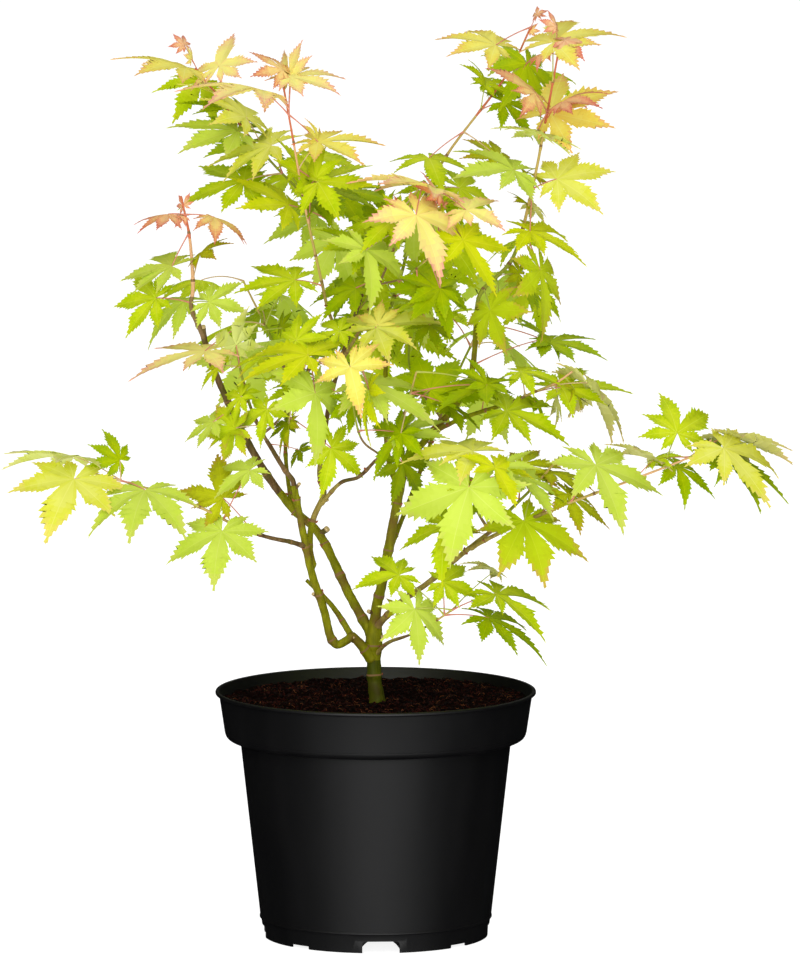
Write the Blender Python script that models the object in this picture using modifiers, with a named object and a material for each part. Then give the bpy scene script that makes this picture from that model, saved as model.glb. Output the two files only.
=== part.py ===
"""Young Japanese maple in a round nursery pot.

Units are metres, +Z up, the ground at z = 0. The plant is laid out in millimetres round the pot's
axis (+X to the right of the plant, +Y to its back) and hangs from one empty, which puts the middle
of the whole plant's box over the origin.

The wood is a trunk and boughs, each one tapering limb. Every mass of foliage grows from the tip of
one bough: a stem, side twigs, and pairs of palmate leaves on their stalks by one seeded rule.
"""
import math
import random

import bmesh
import bpy
import numpy as np
from mathutils import Matrix, Vector, noise
from mathutils.bvhtree import BVHTree

MM = 0.001
SEED = 7

# where the pot's axis stands, from the middle of the whole plant's box
POT_X, POT_Y = -17.0, -25.0

# pot
POT_STEPS = 36
RIM_R, RIM_Z = 95.1, 147.0
LIP_H, LIP_OUT = 3.6, 2.0
COLLAR_TOP_R, COLLAR_LOW_R, COLLAR_Z = 93.0, 89.6, 118.4
WALL_TOP_R, WALL_LOW_R, WALL_LOW_Z = 80.5, 68.7, 12.6
FOOT_TOP_R, FOOT_LOW_R, FOOT_Z = 67.2, 65.2, 9.8
WALL = 1.6
FLOOR_Z = 9.6
INNER_RING_R = 56.5
ARCH_TURN, ARCH_W, ARCH_H = 2.8, 30.0, 6.9
CHANNEL_R, CHANNEL_Z = 13.0, -5.4
RECESS_W, RECESS_H = 14.0, 2.0

# soil
SOIL_Z, SOIL_EDGE_Z = 138.3, 133.6
SOIL_PAD_R = 9.0
SOIL_LUMP = 1.3
GAP = 0.3

# wood
LIMB_SIDES_RES = 1
SPAN = 2                     # pieces of a limb between two of its bends
STRAIGHT = 1.5               # a limb's first stretch, in line with the tip that it carries on from

# leaves
LEAF_THICK = 1.0             # at the stalk
STALK_R = 0.6
TWIG_TIP = 1.2               # a twig's thickness at its tip
STALK_SHARE = 0.66           # length of a stalk, as a share of its blade
STALK_RISE = 52.0            # angle of a stalk from its twig, degrees
LOBES = ((0.0, 1.0), (40.0, 0.9), (80.0, 0.7))
NOTCH = 0.4                  # depth of the cut between two lobes, from the stalk
JOG = 0.4                    # how far a blade may turn from the way it would hang
SWINGS = (0, 14, -14, 28, -28, 44, -44, 62, -62, 84, -84)   # turns tried until a leaf finds room
LEAF_GAP = 1.5
MIN_LEAF = 14.0

# name, what it grows from ("tip" carries straight on, "side" leaves the flank), bends, diameters
LIMBS = (
    ("trunk", None, None, ((1, 0, 138.6), (0, 0, 146), (-1, 0, 158), (-1, 1, 174), (0, 2, 191)),
     (8.6, 7.2, 7.4, 9.2, 5.6)),
    ("bough_left_fork", "side", "trunk", ((-1, 0, 164), (-6, -3, 171), (-12, -6, 178.5)), (5.4, 4.6)),
    ("bough_left_crook", "tip", "bough_left_fork",
     ((-17.5, -8, 177.5), (-23, -10, 175.5), (-27, -12, 181), (-29, -14, 190)), (4.4, 4.4)),
    ("bough_left_riser", "tip", "bough_left_crook",
     ((-38, -22, 221), (-43, -27, 246), (-48, -30, 273)), (4.3, 3.4)),
    ("snag_left", "side", "bough_left_fork", ((-12, -5, 176), (-23, 2, 193), (-31, 6, 202), (-41, 4, 212)),
     (3.6, 2.0)),
    ("bough_left_inner", "tip", "bough_left_riser", ((-54, -30, 283), (-64, -26, 299)), (2.8, 2.2)),
    ("bough_left_arm", "side", "bough_left_riser",
     ((-41, -25, 236), (-50, -34, 240), (-63, -44, 244), (-75, -50, 249)), (2.5, 1.8)),
    ("bough_left_leader", "side", "trunk",
     ((-1, 1, 178), (-15, 12, 201), (-33, 24, 236), (-50, 30, 252), (-70, 32, 280), (-91, 26, 323),
      (-102, 18, 355)), (5.2, 3.0)),
    ("bough_middle", "side", "bough_left_riser",
     ((-37, -21, 222), (-39, -15, 236), (-37, -10, 250), (-32, -8, 261)), (3.5, 3.0)),
    ("bough_centre", "tip", "bough_middle",
     ((-33, -2, 279), (-27, 14, 318), (-19, 20, 346), (-8, 22, 381)), (2.9, 2.0)),
    ("bough_centre_front", "side", "bough_middle",
     ((-33, -8, 258), (-21, -20, 273), (-10, -30, 278), (0, -40, 289)), (2.2, 1.7)),
    ("bough_upper_left", "side", "bough_centre",
     ((-18, 20, 350), (-27, 4, 370), (-32, -6, 392)), (1.9, 1.6)),
    ("bough_centre_top", "side", "bough_centre",
     ((-21, 19, 340), (-10, 6, 360), (-1, -4, 382)), (1.9, 1.6)),
    ("bough_right", "tip", "trunk", ((4, -2, 212), (8, -4, 234), (12, -6, 256), (16, -8, 275)), (5.4, 4.4)),
    ("bough_right_leader", "tip", "bough_right",
     ((33, 4, 300), (47, 8, 315), (57, 11, 336), (60, 12, 374)), (3.8, 2.6)),
    ("bough_inner_right", "side", "bough_right",
     ((14, -7, 268), (8, -2, 283), (6, 6, 307), (6, 18, 355)), (3.0, 2.2)),
    ("bough_right_reach", "side", "bough_right_leader",
     ((33, 4, 300), (52, -4, 310), (76, -14, 319)), (2.5, 1.9)),
    ("bough_low_right", "side", "trunk",
     ((0, 1, 184), (14, -16, 201), (32, -30, 216), (51, -42, 234), (65, -48, 246)), (3.4, 2.4)),
    ("bough_right_arm", "side", "bough_low_right",
     ((55, -44, 237), (66, -57, 245), (84, -60, 254), (100, -60, 261)), (2.3, 1.8)),
    ("bough_low_front", "side", "trunk", ((0, 0, 168), (7, -14, 177), (17, -30, 183)), (2.2, 1.6)),
    ("bough_back_left", "side", "bough_left_leader",
     ((-50, 30, 252), (-54, 60, 282), (-52, 88, 312)), (2.4, 1.8)),
    ("bough_back_right", "side", "bough_right",
     ((8, -4, 230), (22, 28, 262), (36, 60, 296)), (2.6, 1.8)),
)

# Each mass: the bough whose tip it grows from, then its twigs. A twig is where it leaves the stem
# (None is the stem itself, else a share of it), its bends, and its pairs of leaves: share of the
# twig, turn about it in degrees (0 lies across the plant's face, 90 from front to back), and the
# length of the two middle lobes.
MASSES = (
    ("leaves_left_arm", "bough_left_arm", (
        (None, ((-105, -60, 265), (-133, -60, 275), (-166, -50, 283)),
         ((0.33, 5, 22, 38), (0.64, 10, 34, 34), (1.0, 15, 34, 38))),)),
    ("leaves_left_inner", "bough_left_inner", (
        (None, ((-74, -24, 320), (-81, -18, 349), (-78, -12, 366)),
         ((0.2, 20, 30, 34), (0.5, 100, 34, 38), (0.78, 15, 32, 34), (1.0, 80, 30, 36))),
        (0.06, ((-57, -40, 313), (-44, -52, 333), (-38, -52, 350)),
         ((0.4, 60, 36, 38), (0.72, 0, 36, 36), (1.0, 75, 34, 40))))),
    ("leaves_left_crest", "bough_left_leader", (
        (None, ((-109, 14, 373), (-108, 14, 387), (-110, 12, 416), (-115, 10, 440)),
         ((0.1, 0, 38, 38), (0.42, 12, 20, 30), (0.74, 5, 26, 18), (1.0, 0, 14, 14))),)),
    ("leaves_upper_left", "bough_centre", (
        (None, ((-25, 36, 419), (-64, 46, 459), (-100, 44, 504), (-107, 42, 513)),
         ((0.14, 80, 36, 34), (0.3, 10, 36, 36), (0.45, 85, 38, 36), (0.6, 0, 40, 38),
          (0.73, 80, 36, 36), (0.85, 5, 34, 36), (0.98, 15, 32, 32))),)),
    ("leaves_upper_inner", "bough_upper_left", (
        (None, ((-42, -20, 440), (-49, -26, 481), (-54, -28, 509)),
         ((0.14, 5, 40, 38), (0.44, 0, 36, 38), (0.72, 15, 28, 26), (0.99, 0, 34, 34))),)),
    ("leaves_centre_top", "bough_centre_top", (
        (None, ((10, -20, 410), (21, -34, 441), (28, -38, 453)),
         ((0.14, 50, 36, 40), (0.42, 0, 36, 38), (0.76, 90, 34, 44), (1.0, 0, 36, 32))),
        (0.1, ((18, -22, 396), (38, -34, 414)),
         ((0.6, 80, 36, 40), (1.0, 0, 36, 34))))),
    ("leaves_centre_front", "bough_centre_front", (
        (None, ((7, -55, 303), (17, -62, 320), (24, -62, 344)),
         ((0.3, 0, 36, 34), (0.62, 80, 36, 40), (1.0, 15, 38, 38))),
        (0.08, ((-9, -60, 306), (-14, -78, 338), (-12, -80, 358)),
         ((0.35, 0, 34, 36), (0.68, 85, 36, 38), (1.0, 5, 38, 42))))),
    ("leaves_upper_right", "bough_right_leader", (
        (None, ((81, 4, 404), (92, -6, 445), (100, -14, 487), (107, -18, 526)),
         ((0.07, 90, 34, 38), (0.21, 0, 36, 30), (0.35, 60, 38, 38), (0.5, 10, 24, 24),
          (0.66, 0, 38, 36), (0.79, 80, 28, 30), (0.9, 0, 36, 30), (1.0, 20, 30, 30))),)),
    ("leaves_crest_right", "bough_inner_right", (
        (None, ((15, 28, 391), (26, 42, 428), (42, 52, 460), (77, 52, 507), (92, 46, 537)),
         ((0.12, 0, 36, 38), (0.28, 85, 36, 38), (0.43, 0, 34, 36), (0.56, 80, 36, 36),
          (0.72, 0, 32, 30), (0.86, 10, 30, 36), (1.0, 10, 22, 20))),)),
    ("leaves_right", "bough_right_reach", (
        (None, ((92, -24, 327), (106, -32, 334), (116, -32, 341)),
         ((0.14, 60, 34, 42), (0.46, 0, 32, 34), (0.76, 85, 32, 34), (1.0, 10, 38, 34))),)),
    ("leaves_right_arm", "bough_right_arm", (
        (None, ((130, -62, 273), (154, -56, 281), (190, -44, 294), (197, -40, 301)),
         ((0.28, 0, 26, 40), (0.52, 75, 26, 26), (0.84, 0, 20, 36), (1.0, 15, 42, 26))),)),
    ("leaves_low_right", "bough_low_right", (
        (None, ((78, -50, 260), (92, -50, 274), (108, -42, 291)),
         ((0.25, 85, 34, 44), (0.62, 10, 36, 34), (1.0, 50, 34, 34))),
        (0.04, ((58, -64, 266), (52, -74, 292)),
         ((0.55, 0, 36, 42), (1.0, 40, 40, 36))))),
    ("leaves_low_front", "bough_low_front", (
        (None, ((31, -46, 192), (45, -52, 202)),
         ((0.35, 0, 0, 34), (0.72, 20, 28, 30), (1.0, 55, 38, 38))),)),
    ("leaves_back_left", "bough_back_left", (
        (None, ((-62, 108, 342), (-80, 120, 378)),
         ((0.28, 0, 36, 36), (0.62, 85, 38, 36), (1.0, 15, 34, 34))),
        (0.08, ((-26, 108, 338), (-6, 122, 366)),
         ((0.6, 0, 34, 36), (1.0, 60, 34, 36))))),
    ("leaves_back_right", "bough_back_right", (
        (None, ((52, 90, 332), (74, 108, 372)),
         ((0.28, 0, 36, 36), (0.62, 85, 38, 36), (1.0, 15, 34, 34))),
        (0.08, ((20, 88, 330), (26, 96, 382)),
         ((0.6, 0, 34, 36), (1.0, 60, 34, 36))))),
)

# colours (linear), roughness
LOOKS = {
    "pot": ((0.014, 0.014, 0.015), 0.42),
    "soil": ((0.03, 0.011, 0.007), 0.95),
    "wood": ((0.17, 0.2, 0.035), 0.6),
    "leaves": ((0.36, 0.5, 0.03), 0.5),
}


# ---------------------------------------------------------------- scene helpers

def clear_scene():
    for obj in list(bpy.data.objects):
        bpy.data.objects.remove(obj, do_unlink=True)


def collection(name):
    made = bpy.data.collections.new(name)
    bpy.context.scene.collection.children.link(made)
    return made


def material(name):
    color, rough = LOOKS[name]
    mat = bpy.data.materials.new(name)
    mat.use_nodes = True
    shader = mat.node_tree.nodes["Principled BSDF"]
    shader.inputs["Base Color"].default_value = (*color, 1.0)
    shader.inputs["Roughness"].default_value = rough
    return mat


def add(name, data, where, mat=None, parent=None):
    obj = bpy.data.objects.new(name, data)
    where.objects.link(obj)
    obj.parent = parent
    if mat is not None and not data.materials:
        data.materials.append(mat)
    return obj


def baked(obj, name, where, mat, parent):
    """The object as its modifiers or its curve make it, with a curve's caps welded on."""
    bpy.context.view_layer.update()
    evaluated = obj.evaluated_get(bpy.context.evaluated_depsgraph_get())
    mesh = bpy.data.meshes.new_from_object(evaluated)
    shape = bmesh.new()
    shape.from_mesh(mesh)
    bmesh.ops.remove_doubles(shape, verts=shape.verts, dist=1e-6)
    bmesh.ops.recalc_face_normals(shape, faces=shape.faces)
    shape.to_mesh(mesh)
    shape.free()
    mesh.materials.clear()
    bpy.data.objects.remove(obj, do_unlink=True)
    made = add(name, mesh, where, mat, parent)
    mesh.name = name
    return made


def apply_modifiers(obj):
    bpy.context.view_layer.update()
    evaluated = obj.evaluated_get(bpy.context.evaluated_depsgraph_get())
    mesh = bpy.data.meshes.new_from_object(evaluated)
    obj.modifiers.clear()
    obj.data = mesh


def boolean(obj, name, operation, operand=None, group=None, solver="EXACT"):
    cut = obj.modifiers.new(name, "BOOLEAN")
    cut.operation = operation
    cut.solver = solver
    if group is not None:
        cut.operand_type = "COLLECTION"
        cut.collection = group
    else:
        cut.object = operand


# ---------------------------------------------------------------- courses of limbs and twigs

def course(bends, lead=None, per=SPAN):
    """A smooth line through the bends, with the direction it leaves in, if it has one."""
    points = [Vector(p) for p in bends]
    foot = []
    if lead is not None:
        foot = [points[0]]
        points[0] = points[0] + lead.normalized() * STRAIGHT
    slopes = []
    for i, point in enumerate(points):
        before = points[max(i - 1, 0)]
        after = points[min(i + 1, len(points) - 1)]
        slopes.append((after - before) * (0.5 if 0 < i < len(points) - 1 else 1.0))
    if lead is not None:
        slopes[0] = lead.normalized() * (points[1] - points[0]).length
    line = foot
    for i in range(len(points) - 1):
        a, b, ta, tb = points[i], points[i + 1], slopes[i], slopes[i + 1]
        for step in range(per):
            t = step / per
            line.append((2 * t ** 3 - 3 * t ** 2 + 1) * a + (t ** 3 - 2 * t ** 2 + t) * ta
                        + (3 * t ** 2 - 2 * t ** 3) * b + (t ** 3 - t ** 2) * tb)
    line.append(points[-1])
    return line


def shares(line):
    """How far along a line each of its points is, from 0 to 1."""
    run = [0.0]
    for a, b in zip(line, line[1:]):
        run.append(run[-1] + (b - a).length)
    return [r / run[-1] for r in run]


def at(line, share):
    """The point and direction of a line at a share of its length."""
    marks = shares(line)
    for i in range(len(line) - 1):
        if share <= marks[i + 1] or i == len(line) - 2:
            along = (share - marks[i]) / (marks[i + 1] - marks[i])
            return line[i].lerp(line[i + 1], along), (line[i + 1] - line[i]).normalized()
    return line[-1], (line[-1] - line[-2]).normalized()


def taper(line, sizes):
    """Radii along a line from diameters given at even steps of it."""
    radii = []
    for mark in shares(line):
        place = mark * (len(sizes) - 1)
        i = min(int(place), len(sizes) - 2)
        radii.append(0.5 * (sizes[i] + (sizes[i + 1] - sizes[i]) * (place - i)))
    return radii


def rod(name, line, radii, where, mat=None, parent=None, section=None, extra=0.0):
    """A tapering round or three-sided rod along a line, as a closed mesh."""
    curve = bpy.data.curves.new(name, "CURVE")
    curve.dimensions = "3D"
    curve.resolution_u = 1
    curve.use_fill_caps = True
    if section is None:
        curve.bevel_depth = MM
        curve.bevel_resolution = LIMB_SIDES_RES
    else:
        curve.bevel_mode = "OBJECT"
        curve.bevel_object = section
    spline = curve.splines.new("POLY")
    spline.points.add(len(line) - 1)
    for point, place, radius in zip(spline.points, line, radii):
        point.co = (*(place * MM), 1.0)
        point.radius = radius + extra
    return baked(add(name, curve, where), name, where, mat, parent)


# ---------------------------------------------------------------- what a leaf must keep clear of

class Neighbours:
    """Every rod and blade that stands already, for a new leaf to be tried against."""

    def __init__(self):
        self.rods, self.beads, self.girths, self.owners, self.blades = [], [], [], [], []

    def add_rod(self, line, radii, owner):
        for a, b, ra, rb in zip(line, line[1:], radii, radii[1:]):
            count = max(1, int((b - a).length / 2.0))
            for i in range(count + 1):
                self.beads.append(a.lerp(b, i / count))
                self.girths.append(ra + (rb - ra) * i / count)
                self.owners.append(owner)
            self.rods.append((a, b, owner))

    def add_blade(self, blade, owner):
        self.blades.append((blade, owner))

    def clear(self, blade, stalk, owner):
        """True if a blade and its stalk touch nothing: blades all round, and other masses' wood."""
        beads, girths = np.array(self.beads), np.array(self.girths)
        others = np.array([o != owner for o in self.owners])
        reach = np.linalg.norm(beads[None] - blade["spots"][:, None], axis=2) - girths[None]
        own_stem = np.linalg.norm(beads - np.array(stalk[0]), axis=1) < 5.0
        if (reach[:, others] < LEAF_GAP).any() or (reach[:, ~others & ~own_stem] < 0.2).any():
            return False
        near_end = stalk[2] + (stalk[1] - stalk[2]).normalized() * 1.5
        for a, b in ((near_end, stalk[1]), (stalk[1], stalk[0])):
            if blade["tree"].ray_cast(a, (b - a).normalized(), (b - a).length)[0] is not None:
                return False
        if any(blade["tree"].find_nearest(stalk[1].lerp(stalk[2], s), 1.0)[0] for s in (0.0, 0.4)):
            return False
        spots = np.array([stalk[0].lerp(stalk[-1], i / 12) for i in range(13)])
        reach = np.linalg.norm(beads[None] - spots[:, None], axis=2) - girths[None] - STALK_R
        if (reach[:, others] < 0.6).any():
            return False
        middle, size = blade["middle"], blade["size"]
        for a, b, other in self.rods:
            if (a - middle).length < size + (b - a).length:
                if blade["tree"].ray_cast(a, (b - a).normalized(), (b - a).length)[0] is not None:
                    return False
        for blade_b, other in self.blades:
            if (blade_b["middle"] - middle).length > size + blade_b["size"] + 2:
                if (blade_b["middle"] - stalk[0]).length > blade_b["size"] + size + 2:
                    continue
            if blade["tree"].overlap(blade_b["tree"]):
                return False
            if any(blade_b["tree"].find_nearest(Vector(s), LEAF_GAP)[0] for s in blade["spots"]):
                return False
            if any(blade["tree"].find_nearest(Vector(s), LEAF_GAP)[0] for s in blade_b["spots"]):
                return False
            for a, b in zip(stalk, stalk[1:]):
                if blade_b["tree"].ray_cast(a, (b - a).normalized(), (b - a).length)[0] is not None:
                    return False
            if other != owner and any(blade_b["tree"].find_nearest(Vector(s), 1.4)[0] for s in spots):
                return False
        return True


# ---------------------------------------------------------------- leaves

def blade_outline(size):
    """The edge of a palmate blade on its own plane, from one side of its stalk round to the other."""
    lobes = [(-a, r) for a, r in reversed(LOBES[1:])] + list(LOBES)
    angles = [a for a, _ in lobes]
    notches = [angles[0] - 42] + [(a + b) / 2 for a, b in zip(angles, angles[1:])] + [angles[-1] + 42]
    polar = []
    for i, notch in enumerate(notches):
        polar.append((notch, NOTCH if 0 < i < len(notches) - 1 else 0.24))
        if i < len(lobes):
            polar.append(lobes[i])
    return [(math.sin(math.radians(a)) * r * size, math.cos(math.radians(a)) * r * size)
            for a, r in polar]


def blade_edge(size, frame, droop):
    return [frame @ Vector((x, y, -droop * (x * x + y * y) / size)) for x, y in blade_outline(size)]


def blade_shape(size, frame, droop):
    """The middle surface of a blade, and spots all over it, to try it against its neighbours."""
    edge = blade_edge(size, frame, droop)
    points = [frame.translation.copy()] + edge
    faces = [(0, i, i + 1) for i in range(1, len(edge))]
    spots = [points[0]] + [points[0].lerp(tip, s) for tip in edge[1::2] for s in (0.25, 0.5, 0.75, 1.0)]
    return {"tree": BVHTree.FromPolygons(points, faces), "spots": np.array(spots),
            "middle": frame @ Vector((0, 0.45 * size, 0)), "size": 0.95 * size}


def leaf_pose(foot, along, turn, size, rng):
    """The stalk and the frame of a blade: it spreads from its twig, then hangs out and down."""
    across = Vector((0, 1, 0)).cross(along).normalized()
    deep = along.cross(across)
    spread = across * math.cos(turn) + deep * math.sin(turn)
    rise = math.radians(STALK_RISE + rng.uniform(-8, 8))
    length = size * STALK_SHARE * rng.uniform(0.8, 1.15)
    way = spread * math.sin(rise) + along * math.cos(rise)
    end = foot + way * length + Vector((0, 0, -0.12 * length))
    out = Vector((end.x * 0.004 + spread.x, end.y * 0.004 + spread.y, 0))
    out = out.normalized() if out.length > 0.05 else Vector((0, -1, 0))
    facing = Vector((0, -1, 0)) * rng.uniform(0.3, 1.0) if end.y < 60 else Vector((0, 0.3, 0))
    jog = [rng.uniform(-JOG, JOG) for _ in range(6)]
    normal = (Vector((0, 0, rng.uniform(0.4, 0.9))) + out * 0.3 + facing + Vector(jog[:3])).normalized()
    rib = out * 0.62 + Vector((0, 0, -rng.uniform(0.3, 0.75))) + Vector(jog[3:])
    rib = (rib - normal * rib.dot(normal)).normalized()
    side = rib.cross(normal)
    frame = Matrix.Translation(end) @ Matrix((side, rib, normal)).transposed().to_4x4()
    knee = foot + way * length * 0.5 + Vector((0, 0, 0.04 * length))
    return [foot, knee, end], frame, rng.uniform(0.08, 0.26)


def draw_twigs(name, twigs, root, lead, root_r, neighbours):
    """The courses and radii of a mass's stem and of the twigs that leave it."""
    drawn = []
    for leaving, bends, _ in twigs:
        if leaving is None:
            line, thick = course((root, *bends), lead), 2 * root_r
        else:
            line, thick = course((at(drawn[0][0], leaving)[0], *bends)), 1.6 * root_r
        drawn.append((line, taper(line, (thick, TWIG_TIP))))
        neighbours.add_rod(*drawn[-1], name)
    return drawn


def grow_leaves(name, twigs, drawn, neighbours):
    """The leaves of a mass, in pairs along its twigs: those that find room."""
    rng = random.Random(f"{SEED} {name}")
    leaves = []
    for (_, _, pairs), (line, _) in zip(twigs, drawn):
        for share, turn, *lengths in pairs:
            foot, along = at(line, share - 0.004)
            for flip, size in enumerate(lengths):
                if size < MIN_LEAF:
                    continue
                for swing in SWINGS:
                    stalk, frame, droop = leaf_pose(
                        foot, along, math.radians(turn + 180 * flip + swing), size, rng)
                    blade = blade_shape(size, frame, droop)
                    if neighbours.clear(blade, stalk, name):
                        leaves.append((stalk, frame, size, droop))
                        neighbours.add_rod(stalk, [STALK_R] * 3, name)
                        neighbours.add_blade(blade, name)
                        break
    return leaves


def leaf_solid(name, stalk, frame, size, droop, where):
    """A blade that is thickest at its stalk and thins to its edge, with its stalk, as one closed loft."""
    edge = blade_edge(size, frame, droop)
    heel = [frame @ Vector((x * STALK_R, -0.9 * STALK_R, 0)) for x in (1, -1)]
    keel = frame @ Vector((0, -0.9 * STALK_R, -1.4 * STALK_R))
    face, back = (frame @ Vector((0, 0.6, h * LEAF_THICK / 2)) for h in (1, -1))
    points = [face, back, *edge, *heel, keel]
    right, left, low = len(points) - 3, len(points) - 2, len(points) - 1
    ring = [*range(2, 2 + len(edge)), right, left]
    faces = []
    for a, b in zip(ring, ring[1:] + ring[:1]):
        faces.append((0, b, a))
        if (a, b) != (right, left):
            faces.append((1, a, b))
    faces += [(1, right, low), (1, low, left)]
    last = (right, left, low)
    side = frame.to_3x3() @ Vector((1, 0, 0))
    stops = [stalk[1], stalk[0] + (stalk[0] - stalk[1]).normalized() * 0.4]
    before = stalk[2]
    for stop in stops:
        way = (before - stop).normalized()
        wide = (side - way * side.dot(way)).normalized()
        low_way = way.cross(wide)
        base = len(points)
        points += [stop + wide * STALK_R, stop - wide * STALK_R, stop + low_way * 1.4 * STALK_R]
        now = (base, base + 1, base + 2)
        for i in range(3):
            j = (i + 1) % 3
            faces += [(last[i], last[j], now[j]), (last[i], now[j], now[i])]
        last, before = now, stop
    faces.append(last)
    mesh = bpy.data.meshes.new(name)
    mesh.from_pydata([p * MM for p in points], [], faces)
    shape = bmesh.new()
    shape.from_mesh(mesh)
    bmesh.ops.recalc_face_normals(shape, faces=shape.faces)
    shape.to_mesh(mesh)
    shape.free()
    return add(name, mesh, where)


def build_mass(name, lines, leaves, home, section, mat, stand):
    """Twigs, stalks and blades of a mass, joined into one solid."""
    group = collection(f"{name} pieces")
    first = None
    for i, (line, radii) in enumerate(lines):
        piece = rod(f"{name} twig {i}", line, radii, group if i else home, section=section)
        first = first or piece
    for i, leaf in enumerate(leaves):
        leaf_solid(f"{name} leaf {i}", *leaf, group)
    boolean(first, "join", "UNION", group=group, solver="MANIFOLD")
    apply_modifiers(first)
    for obj in list(group.objects):
        bpy.data.objects.remove(obj, do_unlink=True)
    bpy.data.collections.remove(group)
    keep_largest(first.data)
    first.name = name
    first.data.name = name
    first.data.materials.clear()
    first.data.materials.append(mat)
    first.parent = stand
    return first


def keep_largest(mesh):
    """Drops loose scraps and fills sealed hollows: only the largest shell stays."""
    shape = bmesh.new()
    shape.from_mesh(mesh)
    bmesh.ops.triangulate(shape, faces=shape.faces)
    seen, shells = set(), []
    for start in shape.verts:
        if start in seen:
            continue
        shell, queue = [], [start]
        seen.add(start)
        while queue:
            vert = queue.pop()
            shell.append(vert)
            for edge in vert.link_edges:
                other = edge.other_vert(vert)
                if other not in seen:
                    seen.add(other)
                    queue.append(other)
        shells.append(shell)
    shells.sort(key=len)
    for shell in shells[:-1]:
        bmesh.ops.delete(shape, geom=shell, context="VERTS")
    shape.to_mesh(mesh)
    shape.free()


# ---------------------------------------------------------------- pot and soil

def turned(name, profile, where, mat, parent):
    """A profile of (radius, height) in millimetres, turned round the Z axis."""
    mesh = bpy.data.meshes.new(name)
    edges = [(i, i + 1) for i in range(len(profile) - 1)]
    mesh.from_pydata([(r * MM, 0.0, z * MM) for r, z in profile], edges, [])
    obj = add(name, mesh, where, mat, parent)
    screw = obj.modifiers.new("turn", "SCREW")
    screw.steps = screw.render_steps = POT_STEPS
    screw.use_merge_vertices = True
    screw.merge_threshold = 0.00001
    return obj


def collar_r(z, inset=0.0):
    share = (z - COLLAR_Z - 4) / (RIM_Z - LIP_H - COLLAR_Z - 4)
    return COLLAR_LOW_R + (COLLAR_TOP_R - COLLAR_LOW_R) * share - inset


def wall_r(z, inset=0.0):
    share = (z - WALL_LOW_Z) / (COLLAR_Z - WALL_LOW_Z)
    return WALL_LOW_R + (WALL_TOP_R - WALL_LOW_R) * share - inset


def pot_profile():
    lip_z = RIM_Z - LIP_H
    top = [(RIM_R - 2.6, RIM_Z - 0.5), (RIM_R - 1.9, RIM_Z), (RIM_R - 0.6, RIM_Z), (RIM_R, RIM_Z - 0.6)]
    inside = [(0, FLOOR_Z + WALL), (WALL_LOW_R - WALL - 3, FLOOR_Z + WALL),
              (wall_r(15, WALL), 15), (wall_r(COLLAR_Z - 3, WALL), COLLAR_Z - 3),
              (wall_r(COLLAR_Z, WALL), COLLAR_Z + WALL), (collar_r(COLLAR_Z + 3, WALL) - 2, COLLAR_Z + WALL),
              (collar_r(COLLAR_Z + 5, WALL), COLLAR_Z + 4)]
    collar = [(RIM_R, lip_z + 0.4), (RIM_R - LIP_OUT, lip_z - 0.6), (collar_r(COLLAR_Z + 4), COLLAR_Z + 4),
              (COLLAR_LOW_R - 1.2, COLLAR_Z + 1.2), (COLLAR_LOW_R - 4, COLLAR_Z)]
    wall = [(wall_r(COLLAR_Z - 0.4), COLLAR_Z), (wall_r(COLLAR_Z - 3), COLLAR_Z - 3),
            (WALL_LOW_R, WALL_LOW_Z), (FOOT_TOP_R, FOOT_Z)]
    foot = [(FOOT_LOW_R, 0), (FOOT_LOW_R - 1.9, 0), (FOOT_TOP_R - 3, FLOOR_Z),
            (INNER_RING_R + 0.8, FLOOR_Z), (INNER_RING_R + 0.6, 0.6), (INNER_RING_R - 0.8, 0.6),
            (INNER_RING_R - 1, FLOOR_Z), (0, FLOOR_Z)]
    return inside + top + collar + wall + foot


def build_pot(home, cutters, mat, stand):
    pot = turned("pot", pot_profile(), home, mat, stand)
    front = math.radians(-90 + ARCH_TURN)
    for i in range(4):
        for kind, turn, wide, high in (("arch", 0, ARCH_W, ARCH_H), ("recess", 45, RECESS_W, RECESS_H)):
            angle = front + math.radians(90 * i + turn)
            bpy.ops.mesh.primitive_cube_add(size=1)
            block = bpy.context.active_object
            block.name = f"{kind} cutter {i}"
            for owner in list(block.users_collection):
                owner.objects.unlink(block)
            cutters.objects.link(block)
            block.data.transform(Matrix.Diagonal((8 * MM, wide * MM, 2 * high * MM, 1)))
            block.location = (64.5 * MM * math.cos(angle), 64.5 * MM * math.sin(angle), 0)
            block.rotation_euler = (0, 0, angle)
            block.parent = stand
            if kind == "arch":
                round_off = block.modifiers.new("corners", "BEVEL")
                round_off.width = 1.6 * MM
                round_off.segments = 2
    for i in range(2):
        bpy.ops.mesh.primitive_cylinder_add(vertices=24, radius=CHANNEL_R * MM, depth=0.124)
        channel = bpy.context.active_object
        channel.name = f"channel cutter {i}"
        for owner in list(channel.users_collection):
            owner.objects.unlink(channel)
        cutters.objects.link(channel)
        channel.location = (0, 0, CHANNEL_Z * MM)
        channel.rotation_euler = (0, math.radians(90), front + math.radians(90 * i))
        channel.parent = stand
    for obj in cutters.objects:
        obj.hide_render = True
        obj.display_type = "WIRE"
    for obj in cutters.objects:
        boolean(pot, obj.name, "DIFFERENCE", operand=obj)
    apply_modifiers(pot)
    for obj in list(cutters.objects):
        bpy.data.objects.remove(obj, do_unlink=True)
    pot.data.name = "pot"
    return pot


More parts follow.
